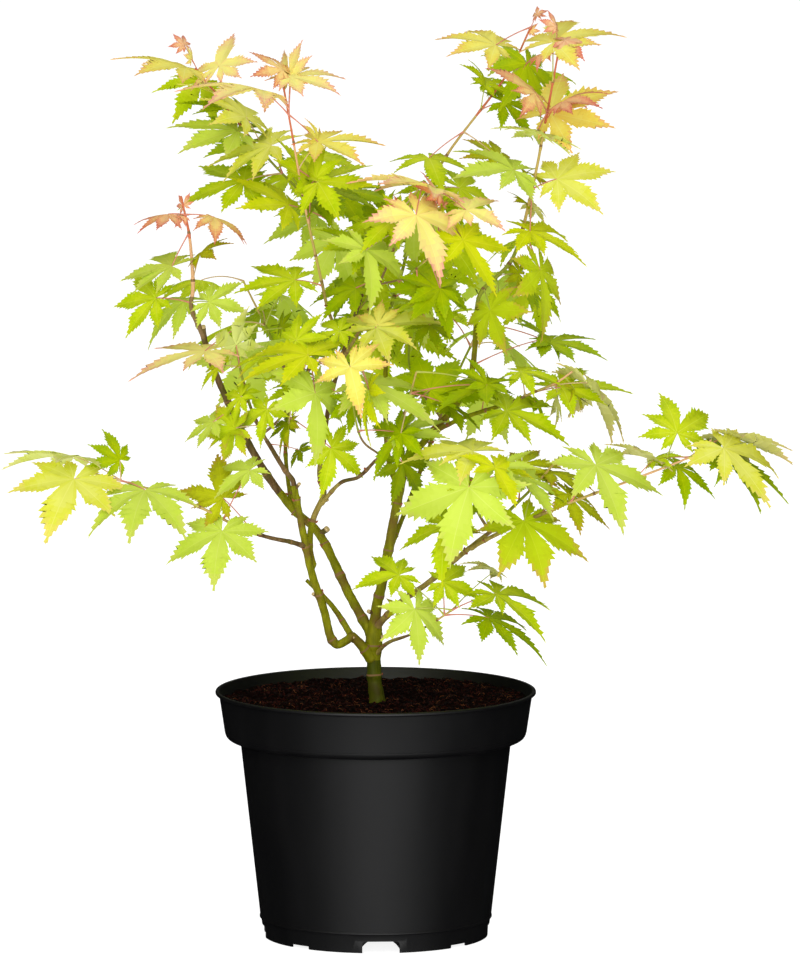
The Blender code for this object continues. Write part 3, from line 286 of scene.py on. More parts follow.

# Leaves placed one by one in each spray. Pixels of the view, across and down: the foot of the blade, the
# tip of its middle lobe, the tip of one side lobe and, where it shows, of the other. Then how many
# millimetres it stands in front of its twig, and its tint.
# A leaf of the tint dark is painted shade, for a leaf that hangs in the shade inside the crown.
PLACED = {
    "leaves_left_arm": (
        (74, 479, 46, 540, 7, 496, 117, 524, 14, "yellow"), (73, 456, 3, 452, 5, 440, 62, 438, -8, "pale"),
        (120, 460, 88, 443, 104, 426, 86, 466, -4, "deep"),
        (145, 490, 126, 540, 84, 524, 190, 533, 10, "lime"),
        (222, 531, 209, 589, 162, 559, 260, 563, 14, "lime"),
        (223, 498, 171, 492, 214, 447, 190, 512, -4, "olive"),
        (250, 470, 214, 500, 219, 467, 245, 497, 8, "lime")),
    "leaves_left_inner": (
        (236, 345, 245, 304, 214, 333, 262, 325, 6, "pale"),
        (205, 351, 127, 376, 160, 346, 183, 377, 10, "peach"), (220, 366, 203, 371, 198, 389, 6, "green"),
        (262, 357, 231, 371, 239, 380, 14, "flushed"), (308, 355, 248, 350, 238, 382, 18, "bright"),
        (296, 340, 325, 312, 300, 311, 2, "green"), (282, 328, 284, 308, 276, 322, -4, "dark"),
        (340, 331, 303, 345, 318, 318, 325, 355, -4, "green"),
        (315, 393, 317, 468, 346, 422, 268, 411, 18, "lime"), (306, 386, 262, 402, 266, 384, 2, "green"),
        (267, 409, 262, 450, 232, 430, 277, 432, 18, "green"), (241, 397, 222, 419, 228, 394, 10, "green"),
        (243, 393, 262, 391, 250, 382, 6, "green"), (213, 422, 183, 443, 194, 421, 0, "lime"),
        (236, 428, 203, 438, 213, 404, 8, "flushed"), (229, 432, 224, 450, 208, 452, 6, "flushed"),
        (289, 424, 279, 459, 291, 452, 0, "olive"), (288, 423, 268, 442, 272, 427, -2, "dark"),
        (299, 450, 302, 464, 313, 449, -6, "dark"), (331, 448, 366, 478, 325, 500, 362, 444, 8, "green"),
        (350, 402, 351, 437, 366, 432, 2, "deep"), (368, 388, 333, 399, 345, 385, 2, "green"),
        (300, 372, 262, 380, 270, 370, 0, "green"), (300, 358, 330, 356, 322, 366, 0, "deep")),
    "leaves_left_crest": (
        (172, 266, 119, 280, 130, 295, 152, 249, 8, "lime"), (156, 298, 109, 307, 124, 337, 2, "green"),
        (209, 302, 251, 312, 224, 332, 243, 282, 12, "lime"), (168, 214, 134, 222, 137, 232, 2, "red"),
        (184, 216, 167, 218, 172, 214, 0, "red"), (214, 217, 248, 241, 221, 238, 250, 233, 4, "russet"),
        (200, 254, 234, 241, 217, 259, -2, "olive"), (184, 206, 178, 193, 175, 206, 0, "red")),
    "leaves_upper_left": (
        (185, 67, 111, 54, 126, 67, 133, 52, 6, "gold"), (184, 45, 172, 33, 183, 34, 0, "red"),
        (191, 59, 186, 44, 183, 55, 2, "peach"), (219, 66, 235, 31, 257, 63, 190, 76, 4, "peach"),
        (246, 117, 180, 76, 196, 104, 238, 92, 8, "yellow"),
        (238, 131, 167, 119, 180, 147, 206, 109, 12, "lime"),
        (271, 145, 206, 167, 223, 180, 241, 125, 18, "yellow"),
        (244, 181, 176, 203, 195, 167, 221, 219, 6, "green"),
        (289, 205, 229, 178, 236, 211, 254, 175, 16, "bright"), (250, 182, 268, 160, 256, 163, -6, "deep")),
    "leaves_upper_inner": (
        (262, 90, 170, 88, 212, 98, 8, "peach"), (291, 77, 346, 71, 341, 90, 4, "peach"),
        (283, 70, 249, 50, 251, 76, 2, "russet"), (318, 142, 386, 139, 362, 161, 346, 131, 6, "gold"),
        (318, 142, 306, 116, 316, 128, 2, "gold"), (318, 182, 378, 190, 373, 164, 8, "green"),
        (323, 189, 380, 213, 374, 201, -10, "deep"), (311, 204, 350, 216, 335, 204, -14, "deep"),
        (295, 280, 232, 290, 254, 310, 247, 264, 6, "green"), (311, 181, 275, 137, 271, 163, -6, "green"),
        (316, 178, 325, 143, 308, 155, 2, "green"), (290, 78, 301, 38, 281, 47, 313, 56, -4, "peach")),
    "leaves_centre_top": (
        (366, 250, 371, 315, 411, 282, 335, 270, 24, "lime"), (362, 246, 318, 250, 314, 227, 4, "green"),
        (356, 288, 307, 302, 333, 278, -6, "deep"), (416, 215, 444, 283, 389, 250, 475, 236, 28, "peach"),
        (463, 240, 495, 300, 513, 251, 442, 268, 14, "bright"),
        (436, 288, 447, 345, 473, 313, 405, 305, -4, "deep"), (440, 288, 383, 291, 403, 259, -4, "deep"),
        (430, 325, 439, 351, 412, 345, -10, "dark"), (434, 188, 343, 177, 384, 190, 6, "peach"),
        (440, 194, 420, 170, 424, 187, 4, "red"), (403, 212, 400, 192, 397, 203, 2, "red"),
        (425, 205, 416, 201, 419, 205, 4, "red"), (443, 206, 443, 198, 438, 201, 2, "red"),
        (466, 210, 507, 227, 499, 196, 470, 232, 12, "peach"),
        (376, 328, 450, 318, 418, 348, 381, 297, 28, "yellow"), (378, 325, 381, 298, 357, 312, 26, "gold"),
        (420, 305, 381, 300, 395, 312, -8, "green"), (395, 212, 383, 192, 400, 192, 0, "green"),
        (437, 210, 459, 201, 445, 213, 0, "green"), (392, 222, 338, 230, 355, 214, 2, "green")),
    "leaves_centre_front": (
        (350, 367, 363, 420, 314, 383, 395, 362, 30, "gold"),
        (368, 384, 441, 430, 440, 392, 385, 432, 20, "lime"),
        (401, 433, 368, 478, 371, 428, 402, 470, 12, "deep"), (401, 434, 438, 438, 424, 453, 8, "green"),
        (402, 462, 423, 500, 434, 466, 2, "dark"), (401, 433, 448, 419, 412, 415, 6, "lime"),
        (487, 384, 418, 399, 436, 415, -6, "deep"), (430, 390, 465, 357, 412, 350, -8, "deep"),
        (487, 385, 467, 354, 490, 372, -4, "deep"), (447, 405, 483, 431, 470, 415, -6, "dark"),
        (369, 390, 366, 447, 380, 430, 10, "bright")),
    "leaves_upper_right": (
        (553, 42, 627, 31, 572, 13, 603, 56, 4, "gold"), (556, 27, 549, 9, 555, 17, 2, "red"),
        (565, 40, 600, 44, 590, 36, 8, "red"), (544, 53, 522, 67, 535, 70, 2, "red"),
        (535, 93, 488, 64, 506, 97, 508, 61, 10, "russet"),
        (550, 113, 619, 86, 563, 74, 614, 134, -6, "gold"), (562, 102, 607, 88, 589, 103, 6, "red"),
        (537, 133, 582, 149, 573, 152, 8, "pale"), (537, 133, 490, 124, 505, 125, 6, "pale"),
        (514, 170, 451, 177, 458, 142, 498, 197, 14, "lime"),
        (557, 179, 618, 169, 606, 214, 581, 154, 6, "yellow"), (527, 172, 557, 190, 545, 183, -10, "olive"),
        (528, 204, 507, 191, 514, 200, -4, "olive"), (531, 205, 546, 223, 548, 216, -2, "sage"),
        (530, 231, 588, 265, 545, 262, 573, 231, 14, "bright"),
        (540, 270, 546, 342, 512, 303, 562, 305, 8, "flushed"),
        (490, 310, 508, 358, 533, 313, 478, 350, 16, "flushed"), (520, 274, 503, 265, 505, 283, -6, "olive"),
        (548, 338, 513, 322, 537, 347, -6, "deep"), (549, 342, 608, 358, 598, 338, 575, 365, 0, "deep")),
    "leaves_crest_right": (
        (537, 15, 534, 4, 538, 7, 0, "red"), (537, 15, 546, 11, 543, 16, 0, "red"),
        (530, 31, 538, 22, 533, 23, 0, "russet"), (496, 45, 434, 37, 448, 61, 467, 26, 4, "gold"),
        (485, 84, 471, 57, 465, 61, 2, "green"), (485, 84, 513, 82, 490, 73, 0, "green"),
        (503, 102, 546, 117, 521, 91, 2, "deep"), (498, 158, 463, 137, 489, 139, -4, "olive"),
        (429, 158, 442, 194, 391, 172, 474, 168, 8, "green")),
    "leaves_right": (
        (521, 372, 565, 382, 549, 369, 535, 394, 6, "green"),
        (507, 411, 571, 447, 553, 402, 528, 453, 22, "green"),
        (562, 387, 635, 388, 607, 409, 581, 362, -4, "green"),
        (588, 383, 613, 443, 634, 436, 575, 405, 2, "sage"), (556, 398, 557, 431, 550, 415, 0, "sage"),
        (575, 390, 582, 413, 570, 400, -2, "olive"), (486, 386, 516, 396, 508, 383, -8, "dark"),
        (535, 402, 543, 424, 531, 412, -6, "deep")),
    "leaves_right_arm": (
        (596, 465, 621, 536, 665, 496, 567, 500, 10, "lime"),
        (677, 433, 662, 391, 718, 410, 643, 412, 0, "green"),
        (724, 448, 771, 510, 793, 465, 718, 492, 12, "yellow"), (728, 436, 797, 461, 793, 446, -8, "sage"),
        (722, 452, 793, 499, 759, 502, -10, "deep"), (722, 455, 715, 488, 703, 465, -10, "deep"),
        (676, 466, 717, 498, 707, 474, -6, "deep"), (654, 460, 606, 439, 618, 452, -4, "sage"),
        (654, 460, 684, 454, 672, 466, -4, "green"), (568, 494, 610, 531, 600, 506, -8, "olive")),
    "leaves_low_right": (
        (473, 451, 399, 463, 435, 474, 436, 426, 12, "yellow"),
        (495, 467, 517, 509, 470, 476, 537, 476, 26, "bright"),
        (469, 487, 447, 575, 395, 515, 515, 532, 22, "lime"),
        (447, 525, 438, 585, 397, 546, 483, 533, 6, "green"), (523, 477, 579, 513, 560, 485, 10, "lime"),
        (524, 521, 550, 590, 587, 560, 495, 579, 16, "flushed"), (548, 471, 598, 488, 567, 479, -8, "olive"),
        (522, 465, 567, 468, 538, 451, -8, "olive"), (500, 468, 536, 450, 507, 453, 18, "lime"),
        (450, 535, 484, 532, 470, 545, -4, "olive"), (469, 487, 446, 466, 430, 473, 10, "green")),
    "leaves_low_front": (
        (399, 575, 350, 587, 388, 600, 369, 554, 2, "green"),
        (415, 609, 419, 667, 452, 643, 384, 640, 14, "lime"),
        (443, 582, 483, 598, 458, 611, 471, 563, 4, "green"), (495, 571, 460, 560, 478, 565, -10, "sage"),
        (496, 594, 550, 634, 555, 599, 501, 618, 4, "green"),
        (489, 618, 550, 661, 515, 662, 527, 629, 0, "deep"), (397, 608, 380, 607, 386, 598, -4, "olive")),
}

# The rule adds leaves only round those feet, within so many pixels of the view: near ones, then far ones.
SHOWN = [row[:2] for rows in PLACED.values() for row in rows]
AMONG, AMONG_FAR = 20.0, 28.0
FAR = 14.0                      # leaves from here back are the far side's

# Tints of the leaves, as sRGB: the middle of the blade, half way out, the edge, and the ribs.
TINTS = {
    # dark is painted shade: the deep tint darkened for leaves that hang in the shade inside the crown
    "dark": ("#8C9C00", "#7E9400", "#8A9802", "#9AA808"),
    "deep": ("#A6BA01", "#94AF00", "#A1B402", "#B5C508"),
    "green": ("#C8D71D", "#B4CB07", "#BFCB14", "#D1DF41"),
    "lime": ("#C8DC50", "#C2D844", "#C8D05C", "#D0E064"),
    "bright": ("#D8E014", "#CCD806", "#DCDA1C", "#E3E732"),
    "yellow": ("#E4E664", "#DEE044", "#E6D868", "#ECEC7C"),
    "gold": ("#EEE668", "#EADA58", "#E8B66C", "#F2EC80"),
    "peach": ("#F8EE82", "#F6DA88", "#ECAA8A", "#F8F094"),
    "flushed": ("#BED016", "#BAC815", "#C6AC48", "#C8D628"),
    "olive": ("#BBC212", "#A9AC0E", "#B8962E", "#C6C822"),
    "sage": ("#DEDC8E", "#CAC872", "#CEBA78", "#E4E4A6"),
    "pale": ("#DDE484", "#D0D860", "#DAD68C", "#EAEEA8"),
    "russet": ("#EFCF7D", "#E3A36C", "#C87557", "#F1D38F"),
    "red": ("#E8B984", "#E09370", "#CC6958", "#E8BD96"),
}
SHOOTS = {"olive shoot": "#98A03A", "brown shoot": "#8E7450", "tan shoot": "#C0A660",
          "peach shoot": "#E0B084", "red shoot": "#CE7452", "leaf scar": "#8A6A44", "bud scale": "#A05A40",
          "cut wood": "#D2B88A", "pink stalk": "#D68C78", "pale stalk": "#DABA90", "green stalk": "#BCC25C"}
YOUNG = ("red", "russet")
UNDERSIDES = ("sage", "pale")      # leaves that show their lower face


# ---------------------------------------------------------------- colours and materials

def linear(code):
    """An sRGB hex colour as linear red, green, blue and alpha."""
    parts = [int(code[i:i + 2], 16) / 255 for i in (1, 3, 5)]
    return (*(p / 12.92 if p <= 0.04045 else ((p + 0.055) / 1.055) ** 2.4 for p in parts), 1.0)


def blend(one, other, share):
    """An sRGB hex colour part of the way from one to another."""
    pairs = [(int(one[i:i + 2], 16), int(other[i:i + 2], 16)) for i in (1, 3, 5)]
    return "#" + "".join(f"{round(a + (b - a) * share):02X}" for a, b in pairs)


def node(tree, kind, settings=None, inputs=None):
    """A node with its settings, and its inputs as plain values or as outputs to link from."""
    made = tree.nodes.new(kind)
    for key, value in (settings or {}).items():
        setattr(made, key, value)
    for key, value in (inputs or {}).items():
        if isinstance(value, bpy.types.NodeSocket):
            tree.links.new(value, made.inputs[key])
        else:
            made.inputs[key].default_value = value
    return made


def finish_of(name, **inputs):
    """A new material with one Principled shader, and its node tree."""
    mat = bpy.data.materials.new(name)
    mat.use_nodes = True
    shader = mat.node_tree.nodes["Principled BSDF"]
    for key, value in inputs.items():
        shader.inputs[key.replace("_", " ").title().replace("Ior", "IOR")].default_value = value
    return mat, mat.node_tree, shader


def ramp(tree, source, *stops):
    """A colour ramp of (place, hex colour) stops."""
    made = node(tree, "ShaderNodeValToRGB", inputs={"Fac": source})
    elements = made.color_ramp.elements
    for i, (place, code) in enumerate(stops):
        element = elements[i] if i < 2 else elements.new(place)
        element.position = place
        element.color = linear(code)
    return made.outputs["Color"]


def spread(tree, value, low, high, start=0.0, stop=1.0, ease="LINEAR"):
    """A value between start and stop, spread from low to high."""
    return node(tree, "ShaderNodeMapRange", {"interpolation_type": ease}, {
        "Value": value, "From Min": start, "From Max": stop, "To Min": low, "To Max": high}).outputs["Result"]


def pattern(tree, size, detail=3.0, stretch=(1, 1, 1), rough=0.55):
    """Noise with features of this many millimetres, stretched along an axis."""
    spot = node(tree, "ShaderNodeTexCoord").outputs["Object"]
    if stretch != (1, 1, 1):
        spot = node(tree, "ShaderNodeMapping", inputs={"Vector": spot, "Scale": stretch}).outputs["Vector"]
    return node(tree, "ShaderNodeTexNoise", inputs={
        "Vector": spot, "Scale": 1 / (size * MM), "Detail": detail, "Roughness": rough}).outputs["Fac"]


def relief(tree, shader, height, depth, strength=1.0):
    """Bump of this many millimetres from a 0 to 1 height."""
    bump = node(tree, "ShaderNodeBump", inputs={
        "Height": height, "Distance": depth * MM, "Strength": strength})
    tree.links.new(bump.outputs["Normal"], shader.inputs["Normal"])


def moulded_polypropylene():
    """Injection-moulded black polypropylene: a satin skin with a fine leathery grain and faint flow marks."""
    mat, tree, shader = finish_of("moulded black polypropylene", ior=1.49, specular_ior_level=0.56)
    flow_marks = pattern(tree, 22, stretch=(1, 1, 0.25))
    grain = pattern(tree, 0.7, detail=2.0)
    tree.links.new(ramp(tree, flow_marks, (0.35, "#050506"), (0.7, "#080809")), shader.inputs["Base Color"])
    tree.links.new(spread(tree, flow_marks, 0.44, 0.52), shader.inputs["Roughness"])
    relief(tree, shader, grain, 0.02, 0.5)
    return mat


def potting_peat():
    """Moist peat: near black clods with red-brown crumbs, matt."""
    mat, tree, shader = finish_of("moist potting peat", roughness=0.95, specular_ior_level=0.03)
    clods = pattern(tree, 2.6, detail=6.0, rough=0.7)
    tree.links.new(ramp(tree, clods, (0.3, "#030000"), (0.5, "#0A0201"), (0.72, "#220805")),
                   shader.inputs["Base Color"])
    relief(tree, shader, pattern(tree, 0.9, detail=5.0), 0.6)
    return mat


def coir(name, code):
    """Coconut and bark fibre: dry, matt, red-brown strands."""
    return finish_of(name, base_color=linear(code), roughness=0.85, specular_ior_level=0.15)[0]


def smooth_bark(name, low, middle, high, patch, rough=0.55):
    """Young maple bark: smooth and waxy, streaked up and down, with browner patches and fine ridges."""
    mat, tree, shader = finish_of(name, roughness=rough, specular_ior_level=0.12)
    streaks = ramp(tree, pattern(tree, 2.4, stretch=(1, 1, 0.1)), (0.3, low), (0.5, middle), (0.74, high))
    patches = ramp(tree, pattern(tree, 14, detail=4.0), (0.5, "#000000"), (0.68, "#FFFFFF"))
    mixed = node(tree, "ShaderNodeMix", {"data_type": "RGBA"}, {
        "Factor": patches, "A": streaks, "B": linear(patch)})
    tree.links.new(mixed.outputs["Result"], shader.inputs["Base Color"])
    relief(tree, shader, pattern(tree, 0.8, detail=3.0, stretch=(1, 1, 0.2)), 0.07, 0.6)
    return mat


def leaf_skin(name, code, rough=0.46):
    """A thin maple leaf: a soft waxy bloom over one plain tint. The relief of its veins is in the mesh."""
    return finish_of(name, base_color=linear(code), roughness=rough, ior=1.42, specular_ior_level=0.1)[0]


LOOKS = {
    "pot": moulded_polypropylene(),
    "peat": potting_peat(),
    "fibre red": coir("coir fibre, red brown", "#4A170C"),
    "fibre dark": coir("coir fibre, dark", "#240B06"),
    "fibre pale": coir("coir fibre, pale", "#84502E"),
    "crumb": coir("peat crumb", "#0E0403"),
    "crumb red": coir("bark crumb", "#2C0E08"),
    "green bark": smooth_bark("smooth green bark", "#6E6E02", "#7E7E06", "#929010", "#725C22"),
    # painted shade: green bark darkened for the trunk's foot, in the shade under the crown
    "deep bark": smooth_bark("shaded green bark at the foot", "#3A4200", "#4A5202", "#5A6004", "#484414"),
    "tan bark": smooth_bark("smooth tan bark", "#86763A", "#A08C46", "#AE9E50", "#7A5A3C"),
    "old bark": smooth_bark("older brown bark", "#4E3A22", "#6E5434", "#86704A", "#5C5620", 0.62),
}
for shoot, code in SHOOTS.items():
    LOOKS[shoot] = leaf_skin(shoot, code, 0.42)
for tint, (centre, half_way, edge, rib) in TINTS.items():
    LOOKS[f"{tint} rib"] = leaf_skin(f"leaf {tint} rib", rib)
    for level in range(LEVELS):
        out = 2 * level / (LEVELS - 1)
        shade = blend(centre, half_way, out) if out < 1 else blend(half_way, edge, out - 1)
        LOOKS[f"{tint} {level}"] = leaf_skin(f"leaf {tint} {level}", shade)


# ---------------------------------------------------------------- meshes

def linked(name, data):
    """A new object in the scene."""
    obj = bpy.data.objects.new(name, data)
    bpy.context.scene.collection.objects.link(obj)
    return obj


def dress(obj, nodes=()):
    """Hangs a finished piece on the root body, and hides the solids that it stands for."""
    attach(obj, "root")
    if nodes:
        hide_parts(*nodes)


class Heap:
    """Points and faces of one piece, gathered part by part, with the look of each face."""

    def __init__(self):
        self.points, self.faces, self.looks = [], [], []

    def take(self, points, faces, looks):
        """Adds a part, in one look or with a look for each of its faces."""
        base = len(self.points)
        self.points.extend(points)
        self.faces.extend([tuple(base + i for i in face) for face in faces])
        self.looks.extend([looks] * len(faces) if isinstance(looks, str) else looks)

    def piece(self, name, slot, nodes=(), smooth=True):
        """The piece as an object that rides on the plant and stands for these nodes."""
        mesh = bpy.data.meshes.new(name)
        spots = (np.array(self.points, float) + (POT_X, POT_Y, 0.0)) * MM
        mesh.from_pydata(spots.tolist(), [], self.faces)
        used = sorted(set(self.looks))
        for look in used:
            mesh.materials.append(LOOKS[look])
        place = {look: i for i, look in enumerate(used)}
        mesh.polygons.foreach_set("material_index", [place[look] for look in self.looks])
        if smooth:
            mesh.shade_smooth()
            mesh.set_sharp_from_angle(angle=math.radians(SHARP))
        mesh.update()
        dress(linked(name, mesh), nodes)


# ---------------------------------------------------------------- courses of limbs and twigs

def course(bends, lead=None):
    """A smooth line through the bends, with the direction it leaves in, if it has one."""
    points = [Vector(p) for p in bends]
    line = []
    if lead is not None:
        line = [points[0]]
        points[0] = points[0] + lead.normalized() * STRAIGHT
    slopes = []
    for i in range(len(points)):
        before = points[max(i - 1, 0)]
        after = points[min(i + 1, len(points) - 1)]
        slopes.append((after - before) * (0.5 if 0 < i < len(points) - 1 else 1.0))
    if lead is not None:
        slopes[0] = lead.normalized() * (points[1] - points[0]).length
    for a, b, ta, tb in zip(points, points[1:], slopes, slopes[1:]):
        for step in range(SPAN):
            t = step / SPAN
            line.append((2 * t ** 3 - 3 * t ** 2 + 1) * a + (t ** 3 - 2 * t ** 2 + t) * ta
                        + (3 * t ** 2 - 2 * t ** 3) * b + (t ** 3 - t ** 2) * tb)
    line.append(points[-1])
    return line


def length_of(line):
    return sum((b - a).length for a, b in zip(line, line[1:]))


def shares(line):
    """How far along a line each of its points is, from 0 to 1."""
    run = [0.0]
    for a, b in zip(line, line[1:]):
        run.append(run[-1] + (b - a).length)
    return [r / run[-1] for r in run]


def at(line, share):
    """The point and direction of a line at a share of its length."""
    marks = shares(line)
    i = next((i for i in range(len(line) - 2) if share <= marks[i + 1]), len(line) - 2)
    along = (share - marks[i]) / (marks[i + 1] - marks[i])
    return line[i].lerp(line[i + 1], along), (line[i + 1] - line[i]).normalized()


def taper(line, sizes):
    """Radii along a line from diameters given at even steps of it."""
    radii = []
    for mark in shares(line):
        place = mark * (len(sizes) - 1)
        i = min(int(place), len(sizes) - 2)
        radii.append(0.5 * (sizes[i] + (sizes[i + 1] - sizes[i]) * (place - i)))
    return radii


def swell(place, out, uneven):
    """How much fuller or thinner wood is at a spot of its surface: long waves, and short ones on them."""
    if not uneven:
        return 1.0
    long_wave = noise.noise(place * 0.22 + out * 1.3)
    short_wave = noise.noise(place * 0.9 + out * 3.0)
    return 1.0 + (uneven * long_wave + uneven * 0.5 * short_wave)


def sweep(heap, line, radii, sides, looks, uneven=0.0):
    """A round rod along a line as a closed mesh, with a look for each of its rows."""
    across = (line[1] - line[0]).normalized().orthogonal().normalized()
    points = []
    for i, (place, radius) in enumerate(zip(line, radii)):
        ahead = (line[min(i + 1, len(line) - 1)] - line[max(i - 1, 0)]).normalized()
        across = (across - ahead * across.dot(ahead)).normalized()
        deep = ahead.cross(across)
        for k in range(sides):
            turn = 2 * math.pi * k / sides
            out = across * math.cos(turn) + deep * math.sin(turn)
            points.append(place + out * radius * swell(place, out, uneven))
    faces, colours = [], []
    for i in range(len(line) - 1):
        for k in range(sides):
            right, low, high = (k + 1) % sides, i * sides, (i + 1) * sides
            faces.append((low + k, low + right, high + right, high + k))
        colours += [looks if isinstance(looks, str) else looks[i]] * sides
    foot, tip, last = len(points), len(points) + 1, (len(line) - 1) * sides
    points += [line[0], line[-1]]
    for k in range(sides):
        right = (k + 1) % sides
        faces += [(foot, right, k), (tip, last + k, last + right)]
        colours += [colours[0], colours[-1]]
    heap.take(points, faces, colours)


# ---------------------------------------------------------------- the view

def in_view(across, down, y):
    """The point that shows at this pixel of the view, y millimetres behind the pot's axis."""
    angle = math.atan((FRAME_H / 2 - down) / EYE_PIXELS) - EYE_DIP
    z = EYE.z + (y - EYE.y) * math.tan(angle)
    depth = (y - EYE.y) * math.cos(EYE_DIP) - (z - EYE.z) * math.sin(EYE_DIP)
    return Vector((EYE.x + (across - FRAME_W / 2) / EYE_PIXELS * depth, y, z))


def pixel_of(point):
    """Where a point shows in the view, in pixels across and down."""
    away = point - EYE
    depth = away.y * math.cos(EYE_DIP) - away.z * math.sin(EYE_DIP)
    up = away.y * math.sin(EYE_DIP) + away.z * math.cos(EYE_DIP)
    return FRAME_W / 2 + EYE_PIXELS * away.x / depth, FRAME_H / 2 - EYE_PIXELS * up / depth


def shown(vector):
    """What the view shows of a vector: the part that lies across it."""
    return vector - TOWARD * vector.dot(TOWARD)


def mirrored(vector):
    """The vector that looks the same in the view but leans the other way."""
    return vector - 2 * TOWARD * vector.dot(TOWARD)


# ---------------------------------------------------------------- the blade of a leaf

def lobe_rows(root, teeth, rng):
    """Along a lobe: the share of its length at each row, and whether a tooth points out there."""
    rows = [(root * (j + 1) / ROWS_IN, False) for j in range(ROWS_IN)]
    step = (TEETH_END - root) / teeth
    for k in range(teeth):
        rows += [(root + step * (k + rng.uniform(0.5, 0.8)), True), (root + step * (k + 1), False)]
    return rows


def lance(t, wide):
    """Half the width of a lance-shaped lobe at a share of its length, as a share of that length."""
    a, b = LANCE_PEAK * LANCE_SHARP, (1 - LANCE_PEAK) * LANCE_SHARP
    return wide * (t / LANCE_PEAK) ** a * ((1 - t) / (1 - LANCE_PEAK)) ** b


class Lobe:
    """One lobe: its rib's direction on the blade, its length, its bend and how far its tip lifts."""

    def __init__(self, angle, length, spacing, rng):
        self.angle, self.length = angle, length
        self.axis = (math.sin(angle), math.cos(angle))
        self.side = (math.cos(angle), -math.sin(angle))
        self.bend, self.lift = rng.uniform(*LOBE_BEND), rng.uniform(*LOBE_LIFT)
        self.room = math.tan(spacing / 2) * 0.95         # half the width that its neighbours leave it

    def spot(self, along, out):
        """A place on the blade, so far along the rib and out to its side."""
        return self.axis[0] * along + self.side[0] * out, self.axis[1] * along + self.side[1] * out


